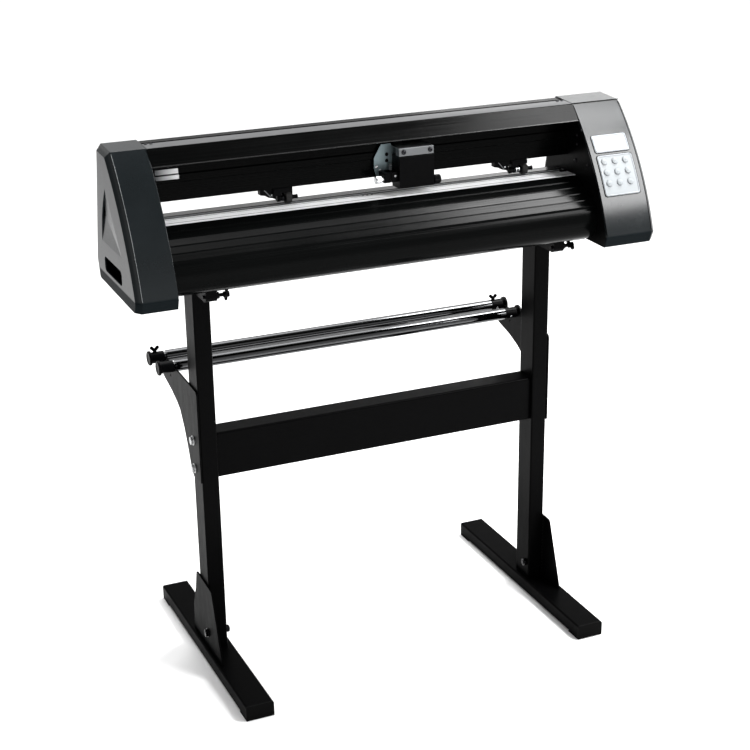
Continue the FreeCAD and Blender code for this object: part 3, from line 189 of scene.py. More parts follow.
def painted(name, base, roughness, grain=900.0, strength=0.10, wear=0.25, edge=0.0008,
            specular=0.5, fades=()):
    """Powder coat or moulded plastic: fine grain, blotchy sheen, rubbed edges."""
    graph = Graph(name)
    fine = graph.noise(grain, 3.0)
    broad = graph.noise(14.0, 5.0)
    smudge = graph.noise(55.0, 6.0, 0.7, (1, 1, 0.35))
    patches = graph.span(graph.noise(160.0, 5.0), 0.0, wear, 0.4, 0.75)
    worn = graph.math("MULTIPLY", graph.edges(edge * 1.6), patches)
    tone = graph.blend(graph.span(broad, 0.0, 1.0), shade(base, 0.86), shade(base, 1.16))
    graph.set(Base_Color=graph.blend(worn, tone, shade(base, 5.0)))
    sheen = graph.span(smudge, roughness - 0.05, roughness + 0.06)
    graph.set(Roughness=graph.math("ADD", sheen, graph.span(fine, -0.02, 0.02)))
    graph.gloss(specular, fades)
    graph.bumps([(fine, strength, 0.00012), (broad, 0.05, 0.0012)], edge)
    return graph.material


def moulded(name, base, roughness, grain=1500.0, strength=0.16, edge=0.0006, specular=0.5, fades=()):
    """Spark-eroded plastic: leathery cell grain with glossier tops."""
    graph = Graph(name)
    cell = graph.cells(grain)
    broad = graph.noise(9.0, 4.0)
    scuff = graph.noise(120.0, 6.0, 0.75, (1, 0.2, 1))
    tone = graph.blend(graph.span(broad, 0.0, 1.0), shade(base, 0.88), shade(base, 1.12))
    colour = graph.blend(graph.span(scuff, 0.0, 0.22, 0.58, 0.8), tone, shade(base, 1.9))
    graph.set(Base_Color=colour)
    sheen = graph.span(cell, roughness - 0.03, roughness + 0.05, 0.0, 0.8)
    graph.set(Roughness=graph.math("ADD", sheen, graph.span(broad, -0.025, 0.03)))
    graph.gloss(specular, fades)
    graph.bumps([(cell, strength, 0.00010), (broad, 0.04, 0.002)], edge)
    return graph.material


def metal(name, base, roughness, lines=(1, 260, 260), line_scale=6.0, strength=0.05, variation=0.1):
    """Drawn, brushed or plated metal: fine lines across one axis and a little tarnish."""
    graph = Graph(name)
    brushed = graph.noise(line_scale, 4.0, 0.6, lines)
    tarnish = graph.noise(30.0, 6.0, 0.65)
    fine = graph.noise(700.0, 2.0)
    dark, pale = shade(base, 1.0 - variation), shade(base, 1.0 + variation)
    tone = graph.blend(graph.span(tarnish, 0.0, 1.0), dark, pale)
    streak = graph.blend(graph.span(brushed, 0.0, 0.35, 0.35, 0.75), tone, shade(base, 0.72))
    graph.set(Base_Color=streak, Metallic=1.0)
    sheen = graph.span(brushed, roughness * 0.7, roughness * 1.35)
    graph.set(Roughness=graph.math("ADD", sheen, graph.span(tarnish, 0.0, roughness * 0.35)))
    graph.bumps([(brushed, strength, 0.00008), (fine, 0.02, 0.00005)], 0.0004)
    return graph.material


def anodised(name, base, roughness, specular=0.5, fades=()):
    """Black anodised extrusion: drawing lines along its length, dulled at the edges."""
    graph = Graph(name)
    lines = graph.noise(5.0, 3.0, 0.5, (0.6, 160, 160))
    broad = graph.noise(7.0, 4.0)
    fine = graph.noise(1300.0, 2.0)
    patches = graph.span(graph.noise(220.0, 4.0), 0.1, 0.5, 0.35, 0.7)
    worn = graph.math("MULTIPLY", graph.edges(0.0010), patches)
    tone = graph.blend(graph.span(lines, 0.0, 1.0), shade(base, 0.85), shade(base, 1.2))
    graph.set(Base_Color=graph.blend(worn, tone, shade(base, 4.0)))
    sheen = graph.span(lines, roughness - 0.06, roughness + 0.06)
    graph.set(Roughness=graph.math("ADD", sheen, graph.span(broad, -0.03, 0.04)))
    graph.gloss(specular, fades)
    graph.bumps([(lines, 0.08, 0.00010), (fine, 0.05, 0.00006)], 0.0006)
    return graph.material


def rubber(name, base, specular=0.2):
    """Ground rubber: dull, with fine grinding marks round the roller."""
    graph = Graph(name)
    ground = graph.noise(8.0, 5.0, 0.6, (220, 12, 12))
    dust = graph.noise(90.0, 5.0)
    graph.set(Base_Color=graph.blend(graph.span(dust, 0.0, 0.5), base, shade(base, 2.1)))
    graph.set(Roughness=graph.span(ground, 0.62, 0.86))
    graph.gloss(specular)
    graph.bumps([(ground, 0.3, 0.0002)], 0.0008)
    return graph.material


def knurled(name, base):
    """Crossed knurling that stands up as small points."""
    graph = Graph(name)
    grit = graph.cells(1400.0)
    patch = graph.noise(22.0, 3.0, 0.5, (1, 0, 0))
    depth = graph.span(grit, 0.0, 1.0, 0.1, 0.6)
    graph.set(Base_Color=graph.blend(depth, shade(base, 1.3), shade(base, 0.45)))
    graph.set(Metallic=1.0, Roughness=graph.span(patch, 0.3, 0.55))
    graph.bumps([(grit, 0.8, 0.0004)], 0.0003)
    return graph.material


def stand_bolt_steel(name):
    """Plated steel colour above 200 mm and near-black below 100 mm, which darkens the pair of bolts at the
    gussets.
    """
    graph = Graph(name)
    upper = graph.span(graph.along(Z), 0.0, 1.0, 100 * MM, 200 * MM)
    tarnish = graph.noise(90.0, 5.0)
    plated = graph.blend(graph.span(tarnish, 0.0, 1.0), (0.44, 0.445, 0.45), (0.60, 0.605, 0.61))
    graph.set(Base_Color=graph.blend(upper, (0.010, 0.010, 0.011), plated), Metallic=1.0)
    graph.set(Roughness=graph.span(tarnish, 0.22, 0.38))
    graph.bumps([(tarnish, 0.05, 0.0001)], 0.0005)
    return graph.material


def foil(name, start, end):
    """Brushed foil with painted shade: near-black at one X place, brightening along X to its pale colour at
    another.
    """
    graph = Graph(name)
    brushed = graph.noise(6.0, 4.0, 0.6, (2, 160, 160))
    # The dark start of this blend is painted shade.
    share = graph.span(graph.along(X), 0.0, 1.0, start, end)
    sheen = graph.blend(share, (0.07, 0.071, 0.073), (0.50, 0.505, 0.51))
    graph.set(Base_Color=sheen, Metallic=1.0, Roughness=graph.span(brushed, 0.28, 0.42))
    graph.bumps([(brushed, 0.03, 0.00008)], 0.0003)
    return graph.material


def circuit(name, base):
    """Solder mask over a maze of tracks."""
    graph = Graph(name)
    tracks = graph.add("ShaderNodeTexBrick")
    tracks.inputs["Scale"].default_value = 120.0
    tracks.inputs["Mortar Size"].default_value = 0.03
    graph.link(graph.place, tracks.inputs["Vector"])
    lines = tracks.outputs["Fac"]
    graph.set(Base_Color=graph.blend(lines, base, shade(base, 2.2)))
    graph.set(Roughness=graph.span(graph.noise(60.0), 0.25, 0.45))
    graph.bumps([(lines, 0.3, 0.00008)], 0.0004)
    return graph.material


def glossy_window(name, base):
    """Printed film: pale, a little wavy, with a faint warm and cool drift."""
    graph = Graph(name)
    drift = graph.noise(18.0, 3.0)
    speck = graph.noise(1800.0, 1.0)
    cool = (base[0] * 0.97, base[1] * 0.985, base[2])
    graph.set(Base_Color=graph.blend(graph.span(drift, 0.0, 1.0), base, cool))
    graph.set(Roughness=graph.span(speck, 0.30, 0.42))
    graph.gloss(0.15)
    graph.bumps([(drift, 0.05, 0.001), (speck, 0.04, 0.00004)], 0.0008)
    return graph.material


# Where a finish is duller: the stand near the floor, the covers underneath and on the left side,
# the apron at its foot, and the beam behind its front edge.
# Each row is the axis, the places where the fade starts and ends, and the share at its start.
SIDE_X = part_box("left_cover")[0].x
THROAT_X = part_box("beam")[0].x
COAT_FADES = [(Z, 150 * MM, 300 * MM, 0.4)]
COVER_FADES = [(Z, 733.5 * MM, 736.5 * MM, 0.03), (X, SIDE_X + 4 * MM, SIDE_X + 6 * MM, 0.45)]
APRON_FADES = [(Z, 735 * MM, 770 * MM, 0.3)]
BEAM_FADES = [(Y, -30 * MM, -40 * MM, 0.35)]

finish = {
    "coat": painted("stand_powder_coat", (0.0010, 0.0010, 0.0011), 0.34, grain=700.0, strength=0.22,
                    wear=0.22, specular=0.022, fades=COAT_FADES),
    "cap": moulded("cap_plastic", (0.0012, 0.0012, 0.0012), 0.5, specular=0.03),
    "cover": moulded("cover_plastic", (0.0062, 0.0083, 0.0094), 0.17, grain=1300.0, strength=0.07,
                     edge=0.0012, specular=0.27, fades=COVER_FADES),
    # Pale grey for the line along the left cover's front edge: painted highlight.
    "crease_highlight": moulded("cover_crease_highlight", (0.16, 0.17, 0.175), 0.30),
    "apron": anodised("apron_black", (0.0012, 0.0014, 0.0014), 0.20, specular=0.045, fades=APRON_FADES),
    "beam": anodised("beam_black", (0.0008, 0.0009, 0.0009), 0.20, specular=0.09, fades=BEAM_FADES),
    # Pale grey for the band on the beam's top: painted highlight.
    "band": moulded("beam_top_highlight", (0.065, 0.066, 0.068), 0.35, strength=0.05, edge=0.0004, specular=0.3),
    "bed": anodised("bed_grey", (0.006, 0.0062, 0.0064), 0.26, specular=0.45),
    "strip": moulded("strip_pale", (0.82, 0.83, 0.84), 0.35, strength=0.05),
    "frame": painted("frame_black", (0.0010, 0.0010, 0.0011), 0.36, strength=0.12, wear=0.15, specular=0.03),
    "chrome": metal("chrome_tube", (0.072, 0.073, 0.075), 0.06, lines=(240, 2, 2), line_scale=5.0,
                    strength=0.008, variation=0.03),
    "zinc": metal("zinc_plate", (0.185, 0.232, 0.245), 0.36, lines=(90, 90, 3), strength=0.03,
                  variation=0.09),
    "bright": metal("bright_steel", (0.62, 0.63, 0.64), 0.22, lines=(3, 120, 120), strength=0.03,
                    variation=0.05),
    "bolts": stand_bolt_steel("stand_bolt_steel"),
    "satin": metal("satin_bracket", (0.155, 0.16, 0.165), 0.40, lines=(2, 160, 160), strength=0.03,
                   variation=0.05),
    # The label is painted darker towards its left end as shade.
    "label": foil("label_foil_painted_shade", THROAT_X + 18 * MM, THROAT_X + 50 * MM),
    "plastic": moulded("black_plastic", (0.0012, 0.0012, 0.0014), 0.32, grain=1700.0, strength=0.12,
                       specular=0.035),
    "gloss": painted("gloss_black", (0.0035, 0.0035, 0.0035), 0.16, grain=1600.0, strength=0.03, wear=0.1,
                     edge=0.0004, specular=0.45),
    "rubber": rubber("roller_rubber", (0.010, 0.0098, 0.0095)),
    # Zero-gloss black for the cutting strip's seams, and as painted shade in the beam's groove, along its top
    # front edge and on the right cover's edges.
    "seam_and_shade_black": rubber("seam_and_shade_rubber", (0.0012, 0.0012, 0.0012), specular=0.0),
    "belt": rubber("belt_rubber", (0.008, 0.008, 0.008)),
    "alloy": metal("turned_alloy", (0.66, 0.67, 0.68), 0.24, lines=(60, 60, 2), variation=0.04),
    "brass": metal("pinion_brass", (0.66, 0.46, 0.18), 0.26, lines=(120, 2, 2), line_scale=5.0,
                   strength=0.04, variation=0.08),
    "nylon": moulded("gear_nylon", (0.62, 0.60, 0.53), 0.42, grain=900.0, strength=0.06),
    "motor": painted("motor_case", (0.008, 0.008, 0.009), 0.35, grain=1200.0, strength=0.15, wear=0.35,
                     specular=0.3),
    "knurl": knurled("grit_shaft_steel", (0.36, 0.37, 0.38)),
    "board": circuit("board_green", (0.010, 0.060, 0.028)),
    "display": glossy_window("display_film", (0.39, 0.41, 0.428)),
    "lcd": glossy_window("lcd_cell", (0.36, 0.38, 0.396)),
    "keypad": glossy_window("keypad_film", (0.292, 0.308, 0.317)),
    "keys": glossy_window("key_dome", (0.292, 0.308, 0.317)),
    "glyph": glossy_window("key_print", (0.23, 0.245, 0.255)),
    # Near-black for the lines round the panel's sheets: painted shadow.
    "sheet_shadow": painted("sheet_shadow_black", (0.010, 0.011, 0.012), 0.45, grain=1500.0, strength=0.03, wear=0.0,
                   edge=0.0002, specular=0.2),
    "black_oxide": metal("black_oxide", (0.030, 0.030, 0.033), 0.32, lines=(60, 60, 60), variation=0.15),
}

NODE_FINISH = {
    "left_foot": "coat", "right_foot": "coat", "foot_caps": "cap", "left_post": "coat", "right_post": "coat",
    "crossbar": "coat", "left_roll_arm": "coat", "right_roll_arm": "coat", "stand_bolts": "bolts",
    "left_clamp_screw": "plastic", "right_clamp_screw": "plastic",
    "rear_roller": "chrome", "rear_roller_knobs": "plastic", "rear_wing_screws": "plastic",
    "front_roller": "chrome", "front_roller_knobs": "plastic",
    "base_tray": "frame", "front_apron": "apron", "platen": "bed", "cutting_strip": "strip", "beam": "beam",
    "left_frame": "frame", "right_frame": "frame", "left_cover": "cover", "right_cover": "cover",
    "control_board": "board", "power_inlet": "gloss", "power_switch": "gloss",
    "display_window": "display", "keypad_overlay": "keypad", "machine_screws": "black_oxide",
    "carriage_motor": "motor", "drive_pulley": "alloy", "idler_pulley": "alloy", "drive_belt": "belt",
    "feed_motor": "motor", "feed_pinion": "brass", "feed_gear": "nylon", "grit_shaft": "knurl",
    "left_pinch_block": "plastic", "left_pinch_arm": "plastic", "left_pinch_roller": "rubber",
    "right_pinch_block": "plastic", "right_pinch_arm": "plastic", "right_pinch_roller": "rubber",
    "carriage_frame": "zinc", "carriage_shoe": "plastic", "carriage_cover": "plastic",
    "carriage_front_plate": "satin", "tool_clamp": "plastic", "clamp_knob": "bright",
}

for node_name, node_object in nodes.items():
    chosen = finish[NODE_FINISH.get(node_name, "keys")]
    slots = node_object.data.materials
    for index in range(len(slots)):
        slots[index] = chosen
    if not slots:
        slots.append(chosen)

# ---------------------------------------------------------------- mesh building blocks
#
# Places are vectors in metres. Radii, outlines, profiles and thicknesses are in millimetres.


SHARP_DEGREES = 35


def new_piece(name, bm, look, body):
    """Turn a bmesh into a piece that rides on a body and takes a finish."""
    bmesh.ops.recalc_face_normals(bm, faces=bm.faces)
    mesh = bpy.data.meshes.new(name)
    bm.to_mesh(mesh)
    bm.free()
    mesh.shade_smooth()
    mesh.set_sharp_from_angle(angle=math.radians(SHARP_DEGREES))
    mesh.materials.append(finish[look])
    piece = bpy.data.objects.new(name, mesh)
    bpy.context.scene.collection.objects.link(piece)
    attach(piece, body)
    return piece


def axis_frame(origin, axis, side=Vector((0, 0, 1))):
    """Matrix that puts +Z along an axis at a point, with +X near a side direction."""
    forward = Vector(axis).normalized()
    across = side - forward * side.dot(forward)
    if across.length < 0.001:
        across = Vector((1, 0, 0)) - forward * forward.x
    across.normalize()
    third = forward.cross(across)
    turn = Matrix((across, third, forward)).transposed().to_4x4()
    return Matrix.Translation(origin) @ turn


def lathe(bm, profile, place, steps=40, flutes=0, flute_depth=0.0):
    """Surface turned from (radius, height) points about a frame's Z axis, with optional flutes."""
    rings = []
    for radius, height in profile:
        ring = []
        for step in range(steps):
            angle = 2 * math.pi * step / steps
            dip = flute_depth * (0.5 - 0.5 * math.cos(flutes * angle)) if flutes else 0.0
            reach = max(radius - dip, 0.0)
            spot = mm(reach * math.cos(angle), reach * math.sin(angle), height)
            ring.append(bm.verts.new(place @ spot))
        rings.append(ring)
    for low, high in zip(rings, rings[1:]):
        for step in range(steps):
            after = (step + 1) % steps
            bm.faces.new((low[step], low[after], high[after], high[step]))
    bm.faces.new(rings[0])
    bm.faces.new(rings[-1])


def plate(bm, outline, thick, place, bevel=0.0):
    """Flat plate from an outline in a frame's XY plane, with its top edge bevelled."""
    low = [bm.verts.new(place @ mm(x, y, 0)) for x, y in outline]
    high = [bm.verts.new(place @ mm(x, y, thick)) for x, y in outline]
    count = len(outline)
    bm.faces.new(low)
    top = bm.faces.new(high)
    for index in range(count):
        after = (index + 1) % count
        bm.faces.new((low[index], low[after], high[after], high[index]))
    if bevel:
        edges = list(top.edges)
        bmesh.ops.bevel(bm, geom=edges, offset=bevel * MM, segments=2, affect="EDGES", profile=0.6)


def rounded_outline(width, height, radius, steps=5):
    """Rounded rectangle about the origin."""
    points = []
    for corner in range(4):
        angle = math.pi / 2 * corner
        sign_x = 1 if corner in (0, 3) else -1
        sign_y = 1 if corner in (0, 1) else -1
        centre_x = sign_x * (width / 2 - radius)
        centre_y = sign_y * (height / 2 - radius)
        for step in range(steps + 1):
            turn = angle + math.pi / 2 * step / steps
            points.append((centre_x + radius * math.cos(turn), centre_y + radius * math.sin(turn)))
    return points


def sweep(bm, path, radius, sides=10, closed=False):
    """Round tube along a list of points; the radius may be a list of one per point."""
    count = len(path)
    radii = radius if isinstance(radius, list) else [radius] * count
    rings = []
    normal = None
    for index, point in enumerate(path):
        before = path[index - 1] if closed or index else point
        after = path[(index + 1) % count] if closed or index + 1 < count else point
        along = (after - before).normalized()
        if normal is None:
            normal = along.orthogonal().normalized()
        normal = (normal - along * normal.dot(along)).normalized()
        third = along.cross(normal)
        ring = []
        for step in range(sides):
            angle = 2 * math.pi * step / sides
            offset = normal * math.cos(angle) + third * math.sin(angle)
            ring.append(bm.verts.new(point + offset * radii[index] * MM))
        rings.append(ring)
    pairs = list(zip(rings, rings[1:]))
    if closed:
        pairs.append((rings[-1], rings[0]))
    else:
        bm.faces.new(rings[0])
        bm.faces.new(rings[-1])
    for low, high in pairs:
        shift = 0
        if high is rings[0]:
            gaps = [(low[0].co - vertex.co).length for vertex in high]
            shift = gaps.index(min(gaps))
        for step in range(sides):
            after = (step + 1) % sides
            bm.faces.new((low[step], low[after], high[(after + shift) % sides], high[(step + shift) % sides]))


def helix(start, axis, radius, turns, length):
    """Points of a coil spring about an axis."""
    steps = 16
    place = axis_frame(start, axis)
    points = []
    for step in range(int(turns * steps) + 1):
        angle = 2 * math.pi * step / steps
        rise = length * step / (turns * steps)
        points.append(place @ mm(radius * math.cos(angle), radius * math.sin(angle), rise))
    return points


def drawn(bm, corners, ends):
    """Straight bar between two X places, with a section of (y, z) corners in millimetres."""
    rings = [[bm.verts.new((x, *mm(*corner))) for corner in corners] for x in ends]
    for corner in range(len(corners)):
        after = (corner + 1) % len(corners)
        bm.faces.new((rings[0][corner], rings[0][after], rings[1][after], rings[1][corner]))
    for ring in rings:
        bm.faces.new(ring)


def pan_head(bm, place, radius, height, socket="cross"):
    """Domed screw head with a cross or hexagon recess cut into its top."""
    steps = 24
    shoulder = [(radius * 0.93, height * 0.62), (radius * 0.74, height * 0.88)]
    profile = [(radius, 0), (radius, height * 0.35)] + shoulder
    angles = [2 * math.pi * step / steps for step in range(steps)]
    rings = []
    for reach, level in profile:
        spots = [mm(reach * math.cos(angle), reach * math.sin(angle), level) for angle in angles]
        rings.append([bm.verts.new(place @ spot) for spot in spots])
    recess = []
    deep = []
    for step, angle in enumerate(angles):
        if socket == "cross":
            reach = radius * 0.52 if step % 6 == 0 else radius * 0.22
        else:
            wedge = (angle % (math.pi / 3)) - math.pi / 6
            reach = radius * 0.46 / math.cos(wedge)
        across, up = reach * math.cos(angle), reach * math.sin(angle)
        recess.append(bm.verts.new(place @ mm(across, up, height)))
        deep.append(bm.verts.new(place @ mm(across * 0.8, up * 0.8, height * 0.35)))
    rings += [recess, deep]
    for low, high in zip(rings, rings[1:]):
        for step in range(steps):
            after = (step + 1) % steps
            bm.faces.new((low[step], low[after], high[after], high[step]))
    bm.faces.new(rings[0])
    bm.faces.new(rings[-1])


# ---------------------------------------------------------------- stand details


def weld(bm, start, end, steps, radius, ripple):
    """Rippled weld bead from one place to another."""
    path = [start + (end - start) * (step / (steps - 1)) for step in range(steps)]
    radii = [radius + ripple * math.sin(step * 1.9) for step in range(steps)]
    sweep(bm, path, radii, 8)


def weld_beads():
    """Fillet welds where each gusset and machine arm meets its post."""
    gusset_low, gusset_high = 30, 150
    arm_x, arm_half, arm_top = 320.5, 10.3, 692.4
    for side, sign in (("left", -1), ("right", 1)):
        low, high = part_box(side + "_post")
        face = (low if side == "left" else high).x - sign * 2.8 * MM
        bm = bmesh.new()
        for edge_y in (-31.6, 19.6):
            ends = [Vector((face, *mm(edge_y, level))) for level in (gusset_low, gusset_high)]
            weld(bm, *ends, 60, 1.9, 0.5)
        for inner in (-1, 1):
            x = sign * arm_x + inner * arm_half
            weld(bm, mm(x, -29, arm_top), mm(x, 17, arm_top), 24, 1.6, 0.4)
        new_piece(side + "_welds", bm, "coat", "frame")


def bolt_faces():
    """Raised grade ring on each stand bolt's head."""
    bm = bmesh.new()
    ring = [(5.2, -0.3), (5.8, 0.2), (5.2, 0.5), (3.6, 0.15), (0.0, 0.1)]
    bolts = ((2, 420), (2, 368), (-20, 56))
    low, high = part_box("stand_bolts")
    for sign, face in ((-1, low.x), (1, high.x)):
        for across, up in bolts:
            lathe(bm, ring, axis_frame(Vector((face, *mm(across, up))), (sign, 0, 0)), 36)
    new_piece("bolt_head_rings", bm, "bolts", "frame")


def roller_details():
    """Set screws in the right collars and drawn-over end faces on the left knobs."""
    collar_x, collar_radius = 322.5, 9.8
    knob_face = [(12.5, -0.1), (11.7, 0.7), (8.5, 0.9), (7.5, 0.4), (3.0, 0.4), (0.0, 0.6)]
    facing = Vector((0, -0.92, -0.38)).normalized()
    for which in ("rear", "front"):
        low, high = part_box(which + "_roller_knobs")
        centre = (low + high) / 2
        body = which + "_roller"
        bm = bmesh.new()
        spot = Vector((collar_x * MM, centre.y, centre.z)) + facing * collar_radius * MM
        pan_head(bm, axis_frame(spot, facing), 2.1, 1.1, "hexagon")
        new_piece(which + "_collar_set_screw", bm, "bright", body)
        bm = bmesh.new()
        lathe(bm, knob_face, axis_frame(Vector((low.x, centre.y, centre.z)), (-1, 0, 0)), 48)
        new_piece(which + "_knob_face", bm, "plastic", body)


# ---------------------------------------------------------------- panel


def joint_axis(child):
    """Direction of the joint that moves a body."""
    return next(joint["axis"] for joint in frame["joints"] if joint["child"] == child)


def panel_centre():
    """Centre of the panel's curved face, where the axes of two rows of keys cross."""
    rows = []
    for key in ("menu_key", "pause_key"):
        low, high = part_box(key)
        rows.append(((low + high) / 2, Vector(joint_axis(key))))
    (first, along), (second, across) = rows
    gap = second - first
    cross = along.y * across.z - along.z * across.y
    reach = (gap.y * across.z - gap.z * across.y) / cross
    spot = first + along * reach
    return spot.y, spot.z


PANEL_Y, PANEL_Z = panel_centre()


def sheet_span(node_name):
    """X range, angle range and outer radius of a curved sheet about the panel's centre."""
    xs, angles, radii = [], [], []
    for vertex in nodes[node_name].data.vertices:
        across = vertex.co.y - PANEL_Y
        up = vertex.co.z - PANEL_Z
        xs.append(vertex.co.x)
        angles.append(math.atan2(up, -across))
        radii.append(math.hypot(across, up))
    return min(xs), max(xs), min(angles), max(angles), max(radii)


def panel_point(x, angle, radius):
    return Vector((x, PANEL_Y - radius * math.cos(angle), PANEL_Z + radius * math.sin(angle)))


def sheet_rim(node_name, inset, lift, thick, corner):
    """A closed path that follows a curved sheet's rounded edge."""
    x_low, x_high, a_low, a_high, radius = sheet_span(node_name)
    width = (x_high - x_low) / MM - 2 * inset
    height = (a_high - a_low) * radius / MM - 2 * inset
    outline = rounded_outline(width, height, corner, 6)
    longest = 6
    dense = []
    for index, (x, up) in enumerate(outline):
        next_x, next_up = outline[(index + 1) % len(outline)]
        pieces = max(1, int(math.hypot(next_x - x, next_up - up) / longest))
        for part in range(pieces):
            share = part / pieces
            dense.append((x + (next_x - x) * share, up + (next_up - up) * share))
    middle_x = (x_low + x_high) / 2
    middle_angle = (a_low + a_high) / 2
    path = []
    for x, up in dense:
        path.append(panel_point(middle_x + x * MM, middle_angle + up * MM / radius, radius + lift * MM))
    bm = bmesh.new()
    sweep(bm, path, thick, 8, closed=True)
    return bm


def sheet_patch(node_name, x_share, a_share, lift):
    """A curved patch over part of a sheet, given as shares of its width and height."""
    x_low, x_high, a_low, a_high, radius = sheet_span(node_name)
    columns, rows = 2, 8
    outer = radius + lift * MM
    inner = radius - 0.2 * MM
    bm = bmesh.new()
    grid = []
    for row in range(rows + 1):
        angle = a_low + (a_high - a_low) * (a_share[0] + (a_share[1] - a_share[0]) * row / rows)
        grid.append([])
        for column in range(columns + 1):
            x = x_low + (x_high - x_low) * (x_share[0] + (x_share[1] - x_share[0]) * column / columns)
            pair = [bm.verts.new(panel_point(x, angle, reach)) for reach in (outer, inner)]
            grid[-1].append(pair)
    for row in range(rows):
        for column in range(columns):
            near, far = grid[row][column:column + 2], grid[row + 1][column:column + 2]
            square = (near[0], near[1], far[1], far[0])
            bm.faces.new([corner[0] for corner in square])
            bm.faces.new([corner[1] for corner in reversed(square)])
    rim = [grid[0][c] for c in range(columns + 1)] + [grid[r][columns] for r in range(1, rows + 1)]
    rim += [grid[rows][c] for c in range(columns - 1, -1, -1)] + [grid[r][0] for r in range(rows - 1, 0, -1)]
    for index, pair in enumerate(rim):
        following = rim[(index + 1) % len(rim)]
        bm.faces.new((pair[0], following[0], following[1], pair[1]))
    return bm


GLYPHS = {
    "up": [(-2.0, -1.4), (2.0, -1.4), (0.0, 2.2)],
    "down": [(-2.0, 1.4), (2.0, 1.4), (0.0, -2.2)],
    "left": [(1.4, 2.0), (1.4, -2.0), (-2.2, 0.0)],
    "right": [(-1.4, 2.0), (-1.4, -2.0), (2.2, 0.0)],
    "bar": [(-2.2, -0.5), (2.2, -0.5), (2.2, 0.5), (-2.2, 0.5)],
    "square": [(-1.5, -1.5), (1.5, -1.5), (1.5, 1.5), (-1.5, 1.5)],
    "diamond": [(0.0, -2.0), (2.0, 0.0), (0.0, 2.0), (-2.0, 0.0)],
}
KEY_GLYPHS = {
    "menu_key": "bar", "up_key": "up", "set_origin_key": "diamond", "left_key": "left", "test_key": "square",
    "right_key": "right", "pause_key": "bar", "down_key": "down", "enter_key": "square",
}


def panel_sheets():
    """Black lines round the two sheets as painted shadow, raised frames on them, and the display's glass and
    cells.
    """
    for node_name, slot in (("display_window", "display_pale"), ("keypad_overlay", "keypad_pale")):
        # A black line just outside each sheet's edge stands in for the shadow round the sheet: painted
        # shadow.
        shadow_line = sheet_rim(node_name, -0.4, -0.8, 0.9, 4.5)
        new_piece(node_name + "_painted_shadow", shadow_line, "sheet_shadow", "frame")
        border = sheet_rim(node_name, 1.6, 0.0, 0.8, 3.6)
        new_piece(node_name + "_border", border, "display", "frame")
    glass = sheet_patch("display_window", (0.07, 0.93), (0.15, 0.85), 0.3)
    new_piece("display_glass", glass, "display", "frame")
    cell_width, cell_height = 0.084, 0.2
    for row in range(2):
        for cell in range(8):
            left = 0.115 + cell * 0.098
            low = 0.27 + row * 0.28
            tile = sheet_patch("display_window", (left, left + cell_width), (low, low + cell_height), 0.42)
            new_piece("display_cell_%d_%d" % (row, cell), tile, "lcd", "frame")


def key_faces():
    """Domes and symbols of the nine keys."""
    dome = [(4.9, 0.0), (4.7, 0.7), (3.6, 1.05), (0.0, 1.2)]
    sunk, symbol_lift, symbol_scale, symbol_thick = 0.4, 1.05, 0.7, 0.22
    for key, glyph in KEY_GLYPHS.items():
        low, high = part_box(key)
        outward = -Vector(joint_axis(key))
        middle = (low + high) / 2
        reach = max((vertex.co - middle).dot(outward) for vertex in nodes[key].data.vertices)
        slope = Vector((0, 0, 1)) - outward * outward.z
        slope.normalize()
        place = Matrix((slope.cross(outward), slope, outward)).transposed().to_4x4()
        place.translation = middle + outward * (reach - sunk * MM)
        bm = bmesh.new()
        lathe(bm, dome, place, 36)
        new_piece(key + "_dome", bm, "keys", key)
        bm = bmesh.new()
        outline = [(x * symbol_scale, y * symbol_scale) for x, y in GLYPHS[glyph]]
        plate(bm, outline, symbol_thick, place @ Matrix.Translation(mm(0, 0, symbol_lift)))
        new_piece(key + "_symbol", bm, "glyph", key)


# ---------------------------------------------------------------- machine head details


def label_plate():
    """Blank foil label over the rail's step at the left, thinner than the slider's running gap."""
    start = THROAT_X + 15.5 * MM
    behind = [(-26.95, 886.0), (-26.95, 892.45), (-23.95, 893.95), (-23.95, 902.4)]
    ahead = [(-24.15, 902.4), (-24.15, 894.12), (-27.15, 892.62), (-27.15, 886.0)]
    bm = bmesh.new()
    drawn(bm, behind + ahead, (start, start + 38.5 * MM))
    new_piece("blank_label_plate", bm, "label", "frame")


def loose_boxes(mesh):
    """Boxes round the separate parts of a mesh; parts that touch share a box."""
    parent = list(range(len(mesh.vertices)))

    def root(index):
        while parent[index] != index:
            parent[index] = parent[parent[index]]
            index = parent[index]
        return index

    for edge in mesh.edges:
        parent[root(edge.vertices[0])] = root(edge.vertices[1])
    parts = {}
    for vertex in mesh.vertices:
        parts.setdefault(root(vertex.index), []).append(vertex.co)
    touching = 0.01 * MM
    boxes = []
    for points in parts.values():
        low = Vector([min(point[axis] for point in points) for axis in range(3)])
        high = Vector([max(point[axis] for point in points) for axis in range(3)])
        for box in boxes:
            if all(low[a] <= box[1][a] + touching and high[a] >= box[0][a] - touching for a in range(3)):
                box[0] = Vector([min(low[a], box[0][a]) for a in range(3)])
                box[1] = Vector([max(high[a], box[1][a]) for a in range(3)])
                break
        else:
            boxes.append([low, high])
    return boxes


def machine_screw_heads():
    """Pan heads with cross recesses, in place of the plain CAD heads."""
    bm = bmesh.new()
    for low, high in loose_boxes(nodes["machine_screws"].data):
        extent = high - low
        centre = (low + high) / 2
        axis = min(range(3), key=lambda a: extent[a])
        outward = Vector((0, 0, 0))
        if axis == 0:
            outward.x = 1 if centre.x < 0 else -1
        else:
            outward.y = 1
        base = centre - outward * extent[axis] / 2
        radius = extent[(axis + 1) % 3] / 2
        pan_head(bm, axis_frame(base, outward), radius / MM, extent[axis] / MM)
    piece = new_piece("machine_screw_heads", bm, "black_oxide", "frame")
    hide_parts("machine_screws")


